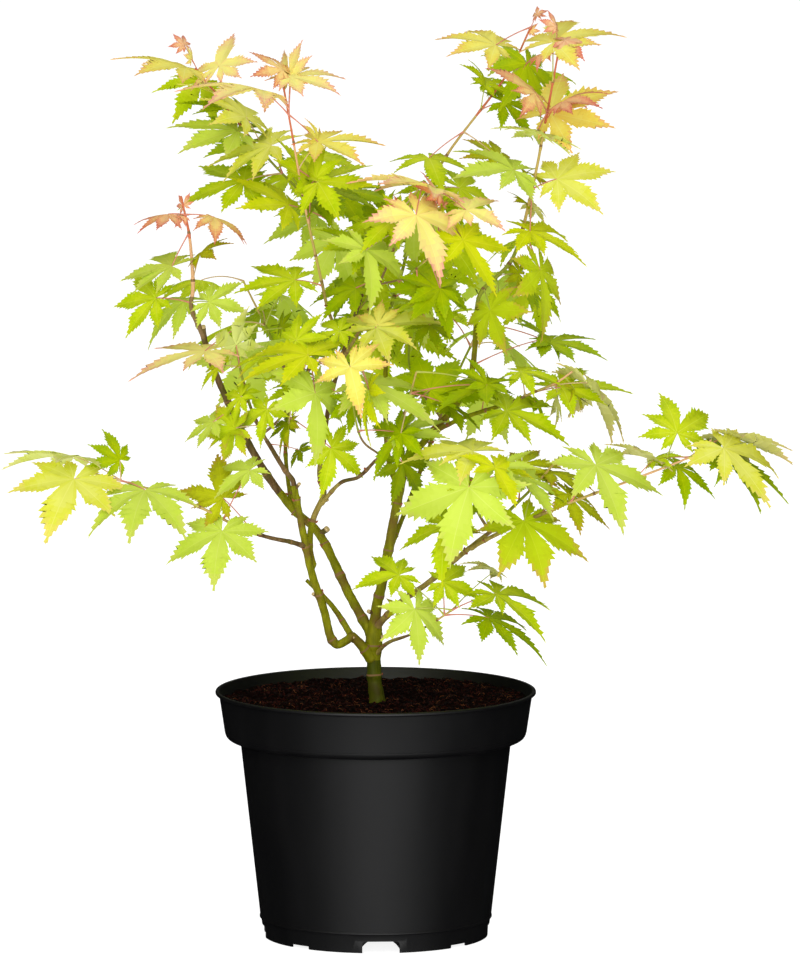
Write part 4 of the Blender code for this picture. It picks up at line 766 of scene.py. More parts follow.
class LeafPlan:
    """A blade on its own plane, grown lobe by lobe: its points, its faces and the zone of each face."""

    def __init__(self, size, lobes, rng):
        self.size, self.rng = size, rng
        self.wide, self.root, self.vee = (rng.uniform(*span) for span in (LOBE_WIDE, LOBE_ROOT, LOBE_VEE))
        angles = [math.radians(a + rng.uniform(-2, 2)) for a, _ in lobes]
        lengths = [size * r * rng.uniform(0.96, 1.04) for _, r in lobes]
        lengths[MIDDLE] = size
        self.seam_ways = [0.0, *((a + b) / 2 for a, b in zip(angles, angles[1:])), 0.0]
        self.seam_ends = [0.0, *(self.root * min(a, b) for a, b in zip(lengths, lengths[1:])), 0.0]
        self.points, self.faces, self.zones, self.seams = [(0.0, 0.0, 0.0)], [], [], {}
        last = len(lobes) - 1
        for k, (angle, length) in enumerate(zip(angles, lengths)):
            outer = k in (0, last)
            spacing = (angles[min(k + 1, last)] - angles[max(k - 1, 0)]) / (1 if outer else 2)
            lobe = Lobe(angle, length, spacing, rng)
            self.grow_lobe(k, lobe, lobe_rows(self.root, SMALL_TEETH if outer else TEETH, rng))

    def put(self, x, y, z):
        self.points.append((x, y, z))
        return len(self.points) - 1

    def seam(self, ray, j, angle):
        """The point at row j that a lobe shares with its neighbour, before they part."""
        if (ray, j) not in self.seams:
            reach, way = self.seam_ends[ray] * (j + 1) / ROWS_IN, self.seam_ways[ray]
            rise = self.vee * reach * math.sin(abs(way - angle))
            self.seams[(ray, j)] = self.put(math.sin(way) * reach, math.cos(way) * reach, rise)
        return self.seams[(ray, j)]

    def edge(self, lobe, hand, t, tooth, shift, rise):
        """A point of a lobe's free edge, at a tooth or in the notch between two."""
        half = min(lance(t, self.wide), t * lobe.room)
        bite = self.rng.uniform(*BITE) * min(1.0, max(0.0, t - 0.2) / 0.25) * (1.15 - t)
        half += (TOOTH_OUT if tooth else -NOTCH_IN) * bite
        ahead = t * lobe.length + (TOOTH_AHEAD * lobe.length * bite if tooth else 0)
        out = hand * half * lobe.length + shift
        return self.put(*lobe.spot(ahead, out), self.vee * half * lobe.length + rise)

    def half_row(self, lobe, hand, end, t, quilt, middle, rise):
        """The points between a lobe's edge and its rib, over the swell at a side vein."""
        thin = hand * RIB_WIDE * self.size * (1.25 - t)
        inside = (middle[0] + lobe.side[0] * thin, middle[1] + lobe.side[1] * thin)
        marks = []
        for part in (0.68, 0.34):
            x, y = (inside[i] + part * (self.points[end][i] - inside[i]) for i in (0, 1))
            marks.append(self.put(x, y, rise + part * (self.points[end][2] - rise) + quilt))
        marks.append(self.put(*inside, rise + RIB_UP * self.size))
        return marks if hand < 0 else marks[::-1]

    def shades(self, t):
        """The zones of tint of a row from its edge in to its rib, nearer to the edge's tint further out."""
        level = 0.9 * max(0.0, t - 0.35) / 0.65 + self.rng.uniform(-0.05, 0.05)
        return [min(LEVELS - 1, int(LEVELS * max(0.0, level + more))) for more in EDGE_SHADES]

    def join(self, before, row, zones, below):
        """Faces from the row before, or from the blade's foot, to a row across a lobe."""
        strip, under = row
        if before:
            last, last_under = before
            self.faces += zip(last, last[1:], strip[1:], strip)
            self.faces += [(last[0], strip[0], under, last_under), (last_under, under, strip[-1], last[-1])]
        else:
            self.faces += [(0, b, a) for a, b in zip(strip, strip[1:])]
            self.faces += [(0, strip[0], under), (0, under, strip[-1])]
        self.zones += [*zones, below, below]

    def grow_lobe(self, k, lobe, rows):
        """One lobe, row by row to its tip, with its rib standing out on both faces."""
        row = None
        for j, (t, tooth) in enumerate(rows):
            inner = j < ROWS_IN
            bent = max(0.0, t - self.root) ** 2
            shift, rise = lobe.bend * lobe.length * bent, lobe.lift * lobe.length * bent
            ends = [self.seam(ray, j, lobe.angle) if inner and self.seam_ends[ray]
                    else self.edge(lobe, hand, t, tooth, shift, rise)
                    for hand, ray in ((-1, k), (1, k + 1))]
            middle = lobe.spot(t * lobe.length, shift)
            quilt = 0.0 if inner else QUILT * lobe.length * (1 if tooth else -QUILT_DIP) * (1 - t)
            left, right = (self.half_row(lobe, hand, end, t, quilt, middle, rise)
                           for hand, end in zip((-1, 1), ends))
            under = self.put(*middle, rise - RIB_UNDER * self.size)
            shades = self.shades(t)
            zones = (*shades, "rib" if t < 0.9 else shades[-1], *shades[::-1])
            before, row = row, ([ends[0], *left, *right, ends[1]], under)
            self.join(before, row, zones, shades[1])
        strip, under = row
        bent = (1 - self.root) ** 2 * lobe.length
        tip = self.put(*lobe.spot(lobe.length, lobe.bend * bent), lobe.lift * bent)
        self.faces += [(a, b, tip) for a, b in zip(strip, strip[1:])]
        self.faces += [(strip[0], tip, under), (under, tip, strip[-1])]
        self.zones += [LEVELS - 1] * (len(strip) + 1)


def grow_blade(heap, place, size, lobes, curl, fold, tint, rng):
    """A blade folded back along its midrib and arched down to its tips, both in radians, put in its place."""
    plan = LeafPlan(size, lobes, rng)
    x, y, z = np.array(plan.points).T
    z = z - np.abs(x) * math.sin(fold)
    x = x * math.cos(fold)
    around, phase = np.arctan2(x, y), rng.uniform(0, 6.28)
    arch = curl * (1 + 0.25 * (np.sin(around * 3 + phase) - math.sin(phase))) / size
    reach = np.hypot(x, y)
    shrink = np.sinc(arch * reach / math.pi)
    spots = np.stack((x * shrink, y * shrink, z - (1 - np.cos(arch * reach)) / arch), axis=1)
    turned = spots @ np.array(place.to_3x3()).T + np.array(place.translation)
    heap.take(turned.tolist(), plan.faces, [f"{tint} {zone}" for zone in plan.zones])


# ---------------------------------------------------------------- where leaves hang

def posed(foot, side, rib, normal):
    """The frame of a blade: X to its side, Y along its rib, Z out of its upper face."""
    return Matrix.Translation(foot) @ Matrix((side, rib, normal)).transposed().to_4x4()


def leaf_pose(foot, along, turn, size, rng):
    """The stalk and the frame of a blade: it spreads from its twig, then hangs out and down."""
    across = Vector((0, 1, 0)).cross(along).normalized()
    deep = along.cross(across)
    spread_way = across * math.cos(turn) + deep * math.sin(turn)
    rise = math.radians(STALK_RISE + rng.uniform(-8, 8))
    length = size * STALK_SHARE * rng.uniform(0.8, 1.15)
    way = spread_way * math.sin(rise) + along * math.cos(rise)
    end = foot + way * length + Vector((0, 0, -STALK_DROOP * length))
    out = Vector((end.x * LEAN_OUT + spread_way.x, end.y * LEAN_OUT + spread_way.y, 0))
    out = out.normalized() if out.length > 0.05 else Vector((0, -1, 0))
    facing = Vector((0, -1, 0)) * rng.uniform(0.3, 1.0) if end.y < BACK_Y else Vector((0, 0.3, 0))
    jog = [rng.uniform(-JOG, JOG) for _ in range(6)]
    normal = (Vector((0, 0, rng.uniform(0.4, 0.9))) + out * 0.3 + facing + Vector(jog[:3])).normalized()
    rib = out * 0.62 + Vector((0, 0, -rng.uniform(0.3, 0.75))) + Vector(jog[3:])
    rib = (rib - normal * rib.dot(normal)).normalized()
    knee = foot + way * length * 0.5 + Vector((0, 0, STALK_KNEE * length))
    return [foot, knee, end], posed(end, rib.cross(normal), rib, normal), rng.uniform(0.08, 0.26)


def turned_blade(tips, curl, fold, underside):
    """The rib, the side, the face, the size and the lobes' ends of a blade whose tips show at these places.

    A blade is about as wide as it is long between those tips, so what the view shortens tells how
    it is turned. It curls down, which moves its tips, so its turn is found in a few rounds.
    """
    apart, share = math.radians(LOBES[MIDDLE + 1][0]), LOBES[MIDDLE + 1][1]
    shrink, sag = math.sin(curl) / curl, (1 - math.cos(curl)) / curl
    lobe_sag = share * (share * sag + math.sin(apart) * math.sin(fold))
    hang = Vector((0, 0, 0))
    for _ in range(SETTLE):
        rib = (tips[0] + hang * sag) / shrink
        ends = [(tip + hang * lobe_sag) / (share * shrink) for tip in tips[1:]]
        side = (ends[0] - ends[1]) / 2 if len(ends) > 1 else ends[0] - rib * math.cos(apart)
        side /= math.sin(apart) * math.cos(fold)
        rib, side = shown(rib), shown(side)
        a, b, c = rib.length_squared, side.length_squared, rib.dot(side)
        size = min(math.sqrt((a + b + math.hypot(a - b, 2 * c)) / 2), BIGGEST_LEAF)
        rib = rib + TOWARD * math.sqrt(max(0.0, size ** 2 - a))
        side = side + TOWARD * -math.copysign(math.sqrt(max(0.0, size ** 2 - b)), c)
        face = side.cross(rib)
        if face.dot(TOWARD) < 0:
            side, face = -side, -face
        if (face.z < TOWARD.z * face.dot(TOWARD)) != underside:
            rib, side = mirrored(rib), mirrored(side)
            face = side.cross(rib)
        if underside:
            side, face = -side, -face
        hang = face.normalized() * size
    return rib, side, face, size, ends


def seen_lobes(ends, rib, side, size):
    """The blade's lobes, those on each side turned and stretched to the end that shows."""
    lobes, open_to_view = list(LOBES), side.cross(rib).dot(TOWARD)
    if len(ends) < 2 or abs(open_to_view) <= OPEN_ENOUGH:
        return lobes
    for end in ends:
        x, y = (a.cross(b).dot(TOWARD) / open_to_view for a, b in ((end, rib), (side, end)))
        hand, angle = int(math.copysign(1, x)), math.degrees(math.atan2(abs(x), y))
        angle = min(max(angle, SEEN_TURN[0]), SEEN_TURN[1])
        stretch = min(max(math.hypot(x, y) / size, SEEN_STRETCH[0]), SEEN_STRETCH[1])
        lobes[MIDDLE + hand] = (hand * angle, LOBES[MIDDLE + 1][1] * stretch)
        for step, turn, widest in OUTER_TURNS:
            lobes[MIDDLE + step * hand] = (hand * min(angle + turn, widest), LOBES[MIDDLE + step][1])
    return lobes


def placed_leaf(row, twigs, curl, fold):
    """The frame, the size and the lobes of a leaf whose foot and lobe tips show where the row says."""
    *pixels, fore, tint = row
    spots = list(zip(pixels[::2], pixels[1::2]))
    near = min((p for line in twigs for p in line), key=lambda p: math.dist(pixel_of(p), spots[0]))
    foot, *tips = (in_view(across, down, near.y - fore) for across, down in spots)
    tips = [shown(tip - foot) for tip in tips]
    rib, side, face, size, ends = turned_blade(tips, curl, fold, tint in UNDERSIDES)
    rib, normal = rib.normalized(), face.normalized()
    normal = (normal - rib * rib.dot(normal)).normalized()
    side = rib.cross(normal)
    reach = size * max(0.0, -rib.y, abs(side.y))
    foot = in_view(*spots[0], max(foot.y, NEAREST + reach))
    return posed(foot, side, rib, normal), size, seen_lobes(ends, rib, side, size)


def stalk_to(place, size, nodes):
    """A stalk from the best node of the twigs to the foot of a blade."""
    foot, rib = place.translation, place.to_3x3() @ Vector((0, 1, 0))
    wanted = 0.6 * size

    def cost(point):
        gap = foot - point
        return abs(gap.length - wanted) + 14 * (1 - gap.normalized().dot(rib))

    start = min(nodes, key=cost)
    sag = Vector((0, 0, STALK_KNEE * (foot - start).length))
    return [start, start.lerp(foot, 0.5) + sag, foot]


def grow_stalk(heap, stalk, size, look):
    """A stalk that is thick where it leaves the twig, bent through its knee."""
    start, knee, end = stalk
    bend = 2 * knee - 0.5 * start - 0.5 * end
    line = []
    for step in range(STALK_STEPS + 1):
        t = step / STALK_STEPS
        line.append((1 - t) ** 2 * start + 2 * t * (1 - t) * bend + t * t * end)
    radius = STALK_R * min(1.0, 0.5 + size / 60)
    radii = [radius * r for r in (1.9, 1.25, *(1.0 - 0.02 * i for i in range(2, STALK_STEPS + 1)))]
    sweep(heap, line, radii, 6, look)


# ---------------------------------------------------------------- wood

def tip_of(line):
    """Where the next piece starts past a line's tip, and its direction."""
    lead = (line[-1] - line[-2]).normalized()
    return line[-1] + lead * GAP, lead


def limb_lines():
    """The course and radii of every limb."""
    drawn = {}
    for name, manner, carrier, bends, sizes in LIMBS:
        lead = Vector((0, 0, 1)) if manner is None else None
        if manner == "tip":
            root, lead = tip_of(drawn[carrier][0])
            bends = (root, *bends)
        line = course(bends, lead)
        drawn[name] = (line, taper(line, sizes))
    return drawn


def knots(line, apart, rng):
    """Shares of a line where it has nodes, about so far apart in millimetres."""
    count = max(1, round(length_of(line) / apart))
    return [(i + rng.uniform(0.3, 0.7)) / count for i in range(count)]


def fine(line, radii, step):
    """The same course with a point every so many millimetres."""
    marks, length = shares(line), length_of(line)
    count = max(3, int(length / step))
    places = [at(line, i / count)[0] for i in range(count + 1)]
    return places, [float(np.interp(i / count, marks, radii)) for i in range(count + 1)], length


def rooted(line, radii, back):
    """The line and radii with one more point behind its foot, inside what carries it."""
    return [line[0] - (line[1] - line[0]).normalized() * back] + line, [radii[0]] + radii


def node_girth(off, much, reach):
    """How much thicker wood is, at this distance from the nearest node."""
    return 1 + much * math.exp(-(off / reach) ** 2)


def grow_bud(heap, foot, way, size):
    """A small pointed bud."""
    line = [foot + way * size * step for step in (0.0, 0.25, 0.55, 0.8, 1.0)]
    sweep(heap, line, [size * r for r in (0.24, 0.33, 0.28, 0.15, 0.02)], 6, "bud scale")


def grow_limb(name, line, radii, manner):
    """A limb with swollen nodes, buds and old scars, a collar where it leaves another, and its stubs."""
    rng = random.Random(f"{SEED} bark {name}")
    if manner == "tip":
        line, radii = rooted(line, radii, 1.2)
    marks = knots(line, NODES_APART, rng)
    line, radii, length = fine(line, radii, 1.0)
    low, high, turn = BARKS.get(name, ("green bark", "green bark", 1))
    looks, heap = [], Heap()
    for i, radius in enumerate(radii):
        share = i / (len(radii) - 1)
        off = min(abs(share - m) for m in marks) * length
        grown = radius * THICKEN * node_girth(off, *LIMB_NODE)
        if manner == "side":
            run = share * length
            collar = 1 + COLLAR * math.exp(-max(0.0, run - COLLAR_RUN) / (1.2 * radius + 1))
            grown *= min(collar, 0.55 + run / 3)
        radii[i] = grown
        looks.append("leaf scar" if off < 0.6 else low if share < turn else high)
    sweep(heap, line, radii, 20, looks, uneven=0.11)
    for mark in marks:
        spot, ahead = at(line, mark)
        out = ahead.orthogonal().normalized()
        out.rotate(Matrix.Rotation(rng.uniform(0, math.pi), 3, ahead))
        girth = radii[round(mark * (len(radii) - 1))]
        for hand in (-1, 1):
            if rng.random() < BUD_SHARE:
                grow_bud(heap, spot + out * hand * girth * 0.9, (out * hand + ahead * 1.3).normalized(),
                         rng.uniform(1.2, 2.3))
    for limb, mark, way, long, wide in STUBS:
        if limb == name:
            reach = radii[round(mark * (len(radii) - 1))] + long
            grow_stub(heap, at(line, mark)[0], Vector(way).normalized() * reach, wide)
    heap.piece(f"{name}_bark", "bark", [name])


def grow_stub(heap, spot, reach, wide):
    """The stub of a cut twig, with a swollen ring near its foot and one below the cut."""
    rings = (0.8, 1.1, 1.05, 1.0, 1.0, 1.1, 0.95)
    steps = len(rings) - 1
    sweep(heap, [spot + reach * step / steps for step in range(steps + 1)], [0.5 * wide * r for r in rings],
          12, ["old bark"] * (steps - 1) + ["cut wood"], uneven=0.15)


def twig_lines(twigs, root, lead, root_r):
    """The courses and radii of a spray's stem and of the twigs that leave it."""
    drawn = []
    for leaving, bends, _ in twigs:
        if leaving is None:
            line, thick = course((root, *bends), lead), 2 * root_r
        else:
            line, thick = course((at(drawn[0][0], leaving)[0], *bends)), 1.6 * root_r
        drawn.append((line, taper(line, (thick, TWIG_TIP))))
    return drawn


def grow_twigs(name, twigs, drawn):
    """A spray's twigs, swollen at the nodes, greener or redder towards their tips."""
    heap = Heap()
    low, middle, high = TWIG_BARKS.get(name, ("brown shoot", "olive shoot", "tan shoot"))
    for (_, _, pairs), (line, radii) in zip(twigs, drawn):
        line, radii, length = fine(*rooted(line, radii, 1.0), 1.5)
        looks = []
        for i, radius in enumerate(radii):
            share = i / (len(radii) - 1)
            off = min(abs(share - pair[0]) for pair in pairs) * length
            radii[i] = radius * node_girth(off, *TWIG_NODE)
            look = low if share < 0.3 else middle if share < 0.7 else high
            looks.append("leaf scar" if off < 0.8 else look)
        sweep(heap, line, radii, 10, looks, uneven=0.06)
    heap.piece(f"{name}_twigs", "bark")


# ---------------------------------------------------------------- sprays

def node_points(twigs, drawn):
    """Where leaves may leave the twigs: at the nodes of the pairs, and half way between."""
    spots = []
    for (_, _, pairs), (line, _) in zip(twigs, drawn):
        marks = [pair[0] for pair in pairs]
        marks += [(a + b) / 2 for a, b in zip([0.0] + marks, marks)]
        spots += [at(line, share)[0] for share in marks]
    return spots


def room_for(spot, name, feet):
    """Whether the rule may add a leaf: not on open sky, among those placed or close to another."""
    far = spot.y > FAR
    hidden = min(math.dist(pixel_of(spot), seen) for seen in SHOWN)
    crowded = any((spot - foot).length < LEAF_ROOM for foot in feet)
    return hidden <= (AMONG_FAR if far else AMONG) and (far or name not in PLACED) and not crowded


def grow_placed(name, blades, stalks, lines, nodes, rng):
    """A spray's leaves that are placed one by one, and the places of their feet."""
    feet = []
    for row in PLACED.get(name, ()):
        tint = row[-1]
        curl = rng.uniform(0.15, 0.5)
        fold = rng.uniform(0.2, 0.5) if tint in YOUNG else rng.uniform(0.0, 0.1)
        place, size, lobes = placed_leaf(row, lines, curl, fold)
        grow_blade(blades, place, size, lobes, curl, fold, tint, rng)
        pink = tint in (*YOUNG, "peach") or rng.random() < 0.5
        look = "pink stalk" if pink else rng.choice(("pale stalk", "green stalk"))
        grow_stalk(stalks, stalk_to(place, size, nodes), size, look)
        feet.append(place.translation)
    return feet


def grow_spray(name, twigs, drawn, base_nodes):
    """The leaves of a spray: those placed one by one, then those of the rule that keep clear of them."""
    blades, stalks = Heap(), Heap()
    rng = random.Random(f"{SEED} looks {name}")
    lines, nodes = [line for line, _ in drawn] + [base_nodes], node_points(twigs, drawn) + base_nodes
    feet = grow_placed(name, blades, stalks, lines, nodes, rng)
    rule = random.Random(f"{SEED} {name}")
    for (_, _, pairs), (line, _) in zip(twigs, drawn):
        for share, turn, *lengths in pairs:
            foot, along = at(line, share - 0.004)
            for flip, size in enumerate(lengths * 2):
                if size < MIN_LEAF:
                    continue
                around = math.radians(turn + 180 * flip + 90 * (flip > 1))
                stalk, place, droop = leaf_pose(foot, along, around, size, rule)
                if room_for(place.translation, name, feet):
                    tint = rng.choice(("deep", "green", "green", "lime"))
                    lobes = [(a * rng.uniform(0.94, 1.04), r * rng.uniform(0.93, 1.06)) for a, r in LOBES]
                    grow_blade(blades, place, size, lobes, 3 * droop, rng.uniform(0.0, 0.4), tint, rng)
                    grow_stalk(stalks, stalk, size, rng.choice(("pink stalk", "pale stalk", "green stalk")))
                    feet.append(place.translation)
    blades.piece(f"{name}_blades", "foliage", [name])
    stalks.piece(f"{name}_stalks", "foliage")


def build_plant():
    """The limbs, then the spray that each bough's tip carries."""
    drawn = limb_lines()
    for name, manner, *_ in LIMBS:
        grow_limb(name, *drawn[name], manner)
    for name, bough, twigs in SPRAYS:
        line, radii = drawn[bough]
        lines = twig_lines(twigs, *tip_of(line), radii[-1])
        grow_twigs(name, twigs, lines)
        grow_spray(name, twigs, lines, [at(line, share)[0] for share in BOUGH_NODES])


# ---------------------------------------------------------------- pot

def collar_r(z, inset=0.0):
    """The collar's radius at a height, taken in by this much."""
    share = (z - COLLAR_Z - 4) / (RIM_Z - LIP_H - COLLAR_Z - 4)
    return COLLAR_LOW_R + (COLLAR_TOP_R - COLLAR_LOW_R) * share - inset


def wall_r(z, inset=0.0):
    """The wall's radius at a height, taken in by this much."""
    share = (z - WALL_LOW_Z) / (COLLAR_Z - WALL_LOW_Z)
    return WALL_LOW_R + (WALL_TOP_R - WALL_LOW_R) * share - inset


def arc(centre, radius, start, stop, steps=6):
    """Points of a round corner in a profile, from one angle to another in degrees."""
    turns = [math.radians(start + (stop - start) * i / steps) for i in range(steps + 1)]
    return [(centre[0] + radius * math.cos(t), centre[1] + radius * math.sin(t)) for t in turns]


def pot_profile():
    """The pot's section as (radius, height), from the middle of its floor up, over the rim and down."""
    lip_z, floor_top = RIM_Z - LIP_H, FLOOR_Z + WALL
    inside = [(0, floor_top), (WALL_LOW_R - WALL - 3, floor_top),
              (wall_r(WALL_IN_Z, WALL), WALL_IN_Z), (wall_r(COLLAR_Z - 3, WALL), COLLAR_Z - 3),
              (wall_r(COLLAR_Z, WALL), COLLAR_Z + WALL), (collar_r(COLLAR_Z + 3, WALL) - 2, COLLAR_Z + WALL),
              (collar_r(COLLAR_Z + 5, WALL), COLLAR_Z + 4)]
    rim = arc((RIM_R - WALL, RIM_Z - RIM_ROUND), RIM_ROUND, 150, 90)
    rim += arc((RIM_R - RIM_ROUND, RIM_Z - RIM_ROUND), RIM_ROUND, 90, 0)
    lip = arc((RIM_R - LIP_ROUND, lip_z + LIP_ROUND), LIP_ROUND, 0, -90)
    lip += arc((RIM_R - LIP_OUT + 0.3, lip_z - 0.5), 0.5, 90, 180, 4)
    collar = [(COLLAR_LOW_R, COLLAR_Z + 4)]
    collar += arc((COLLAR_LOW_R - 4.2, COLLAR_Z + 4 - 0.2), COLLAR_ROUND, 0, -80, 8)
    wall = [(wall_r(COLLAR_Z - 0.4) + 0.5, COLLAR_Z)]
    wall += arc((wall_r(COLLAR_Z - 2) + 1.0, COLLAR_Z - 1.2), 0.9, 100, 180, 4)
    wall += [(wall_r(COLLAR_Z - 3), COLLAR_Z - 3), (wall_r(WALL_MID_Z), WALL_MID_Z), (WALL_LOW_R, WALL_LOW_Z)]
    ledge = [(WALL_LOW_R + 0.35, WALL_LOW_Z - 0.5), (WALL_LOW_R + 0.35, WALL_LOW_Z - 1.1),
             (WALL_LOW_R - 0.3, WALL_LOW_Z - 1.6), (FOOT_TOP_R, FOOT_Z)]
    foot = arc((FOOT_LOW_R - FOOT_ROUND, FOOT_ROUND), FOOT_ROUND, 0, -90, 4) + [
        (FOOT_LOW_R - 1.9, 0), (FOOT_TOP_R - 3, FLOOR_Z), (INNER_RING_R + 0.8, FLOOR_Z),
        (INNER_RING_R + 0.6, 0.6), (INNER_RING_R - 0.8, 0.6), (INNER_RING_R - 1, FLOOR_Z), (0, FLOOR_Z)]
    return inside + rim + lip + collar + wall + ledge + foot


def block(wide, high, corner):
    """A block across the foot ring, with rounded edges if it has a corner."""
    def shape_it(shape):
        bmesh.ops.create_cube(shape, size=1.0)
        bmesh.ops.scale(shape, vec=(CUT_DEEP * MM, wide * MM, 2 * high * MM), verts=shape.verts)
        if corner:
            edges = [e for e in shape.edges if abs(e.verts[0].co.x - e.verts[1].co.x) > CUT_DEEP / 2 * MM]
            bmesh.ops.bevel(shape, geom=edges, offset=corner * MM, segments=6, profile=0.5, affect="EDGES")
    return shape_it


def channel(shape):
    """A round bar under the floor, along X."""
    bmesh.ops.create_cone(shape, cap_ends=True, segments=64, radius1=CHANNEL_R * MM, radius2=CHANNEL_R * MM,
                          depth=CHANNEL_LONG * MM)
    bmesh.ops.rotate(shape, verts=shape.verts, matrix=Matrix.Rotation(math.radians(90), 3, "Y"))


def cut_out(pot, name, shape_it, place, turn):
    """Takes a shape out of the pot, at a place that is turned about the pot's axis by so many degrees."""
    mesh = bpy.data.meshes.new(name)
    shape = bmesh.new()
    shape_it(shape)
    shape.to_mesh(mesh)
    shape.free()
    cutter = linked(name, mesh)
    about = Matrix.Rotation(math.radians(ARCH_TURN - 90) + math.radians(turn), 4, "Z")
    cutter.matrix_world = about @ Matrix.Translation(Vector(place) * MM)
    cut = pot.modifiers.new(name, "BOOLEAN")
    cut.operation = "DIFFERENCE"
    cut.object = cutter
    return cutter


def build_pot():
    """The pot, turned from its section, with drain arches and small recesses cut in its foot ring."""
    profile = pot_profile()
    mesh = bpy.data.meshes.new("nursery_pot")
    mesh.from_pydata([(r * MM, 0.0, z * MM) for r, z in profile],
                     [(i, i + 1) for i in range(len(profile) - 1)], [])
    pot = linked("nursery_pot", mesh)
    turning = pot.modifiers.new("turn", "SCREW")
    turning.steps = turning.render_steps = POT_STEPS
    turning.use_merge_vertices = True
    turning.merge_threshold = 0.00001
    cutters = []
    for i in range(ARCHES):
        turn = 360 / ARCHES * i
        for name, shape_it, radius, on in (
                ("arch", block(ARCH_W, ARCH_H, ARCH_ROUND), CUT_R, 0),
                ("panel", block(PANEL_W, PANEL_H, PANEL_ROUND), PANEL_R, 0),
                ("recess", block(RECESS_W, RECESS_H, 0), CUT_R, 180 / ARCHES)):
            cutters.append(cut_out(pot, f"{name} {i}", shape_it, (radius, 0, 0), turn + on))
    for i in range(2):
        cutters.append(cut_out(pot, f"channel {i}", channel, (0, 0, CHANNEL_Z), 90 * i))
    bpy.context.view_layer.update()
    solid = bpy.data.meshes.new_from_object(pot.evaluated_get(bpy.context.evaluated_depsgraph_get()))
    pot.modifiers.clear()
    pot.data = solid
    for cutter in cutters:
        bpy.data.objects.remove(cutter)
    solid.transform(Matrix.Translation(Vector((POT_X, POT_Y, 0)) * MM))
    solid.materials.clear()
    solid.materials.append(LOOKS["pot"])
    solid.shade_smooth()
    solid.set_sharp_from_angle(angle=math.radians(POT_SHARP))
    dress(pot, ["pot"])


# ---------------------------------------------------------------- soil

def soil_height(x, y):
    """Height of the soil: nearly level, with a hollow round the trunk, lumps, clods and crumbs."""
    radius = math.hypot(x, y)
    level = SOIL_Z - (SOIL_Z - SOIL_EDGE_Z) * (radius / collar_r(SOIL_EDGE_Z, WALL)) ** 2
    level -= SOIL_HOLLOW * math.exp(-(radius / HOLLOW_R) ** 2)
    spot = Vector((x, y, 0.0))
    lumps = LUMPS[0] * noise.noise(spot * LUMPS[1] + Vector((3, 8, 1)))
    clods = CLODS[0] * noise.noise(spot * CLODS[1] + Vector((9, 2, 5)))
    crumbs = SOIL_CRUMBS[0] * abs(noise.noise(spot * SOIL_CRUMBS[1])) + GRIT[0] * noise.noise(spot * GRIT[1])
    return level + lumps + clods + crumbs


def build_soil():
    """The soil's uneven top, closed below by a shallow cone, and the litter on it."""
    edge = collar_r(SOIL_EDGE_Z, WALL) - 0.15
    points = [(0, 0, soil_height(0, 0))]
    for ring in range(1, SOIL_RINGS + 1):
        radius = edge * ring / SOIL_RINGS
        for spoke in range(SOIL_SPOKES):
            turn = 2 * math.pi * (spoke + 0.5 * (ring % 2)) / SOIL_SPOKES
            x, y = radius * math.cos(turn), radius * math.sin(turn)
            points.append((x, y, soil_height(x, y)))
    faces = [(0, 1 + k, 1 + (k + 1) % SOIL_SPOKES) for k in range(SOIL_SPOKES)]
    for ring in range(SOIL_RINGS - 1):
        low, high = 1 + ring * SOIL_SPOKES, 1 + (ring + 1) * SOIL_SPOKES
        for k in range(SOIL_SPOKES):
            right = (k + 1) % SOIL_SPOKES
            faces.append((low + k, high + k, high + right, low + right))
    last, base = len(points) - SOIL_SPOKES, len(points)
    points += [(x * 0.97, y * 0.97, SOIL_LOW_Z) for x, y, _ in points[last:]]
    points.append((0, 0, SOIL_LOW_Z))
    for k in range(SOIL_SPOKES):
        right = (k + 1) % SOIL_SPOKES
        faces += [(last + k, base + k, base + right, last + right), (base + k, len(points) - 1, base + right)]
    bed = Heap()
    bed.take(points, faces, "peat")
    bed.piece("soil_bed", "soil", ["soil"])
    rng = random.Random(f"{SEED} litter")
    strew_crumbs(edge, rng)
    strew_fibres(edge, rng)


def strewn(count, reach, rng):
    """Places on the soil, evenly strewn out to this radius, and none by the trunk."""
    for _ in range(count):
        turn, radius = rng.uniform(0, 2 * math.pi), reach * math.sqrt(rng.random())
        if radius >= TRUNK_CLEAR:
            yield radius * math.cos(turn), radius * math.sin(turn)


def strew_crumbs(edge, rng):
    """Loose crumbs, each a rough lump sunk a little in the soil."""
    crumbs, lump = Heap(), bmesh.new()
    bmesh.ops.create_icosphere(lump, subdivisions=1, radius=1.0)
    ball = [v.co.copy() for v in lump.verts]
    skin = [tuple(v.index for v in f.verts) for f in lump.faces]
    lump.free()
    for x, y in strewn(CRUMBS, edge * 0.975, rng):
        size = rng.uniform(0.3, 1.2)
        centre = Vector((x, y, soil_height(x, y) + 0.25 * size))
        spin = Matrix.Rotation(rng.uniform(0, 6.28), 3, Vector((rng.random(), rng.random(), 1)).normalized())
        shape = Vector((rng.uniform(0.7, 1.3), rng.uniform(0.5, 1.0), rng.uniform(0.4, 0.8))) * size
        spots = [centre + spin @ (Vector([a * b for a, b in zip(v, shape)]) * rng.uniform(0.75, 1.2))
                 for v in ball]
        crumbs.take(spots, skin, rng.choice(CRUMB_LOOKS))
    crumbs.piece("soil_crumbs", "soil", smooth=False)


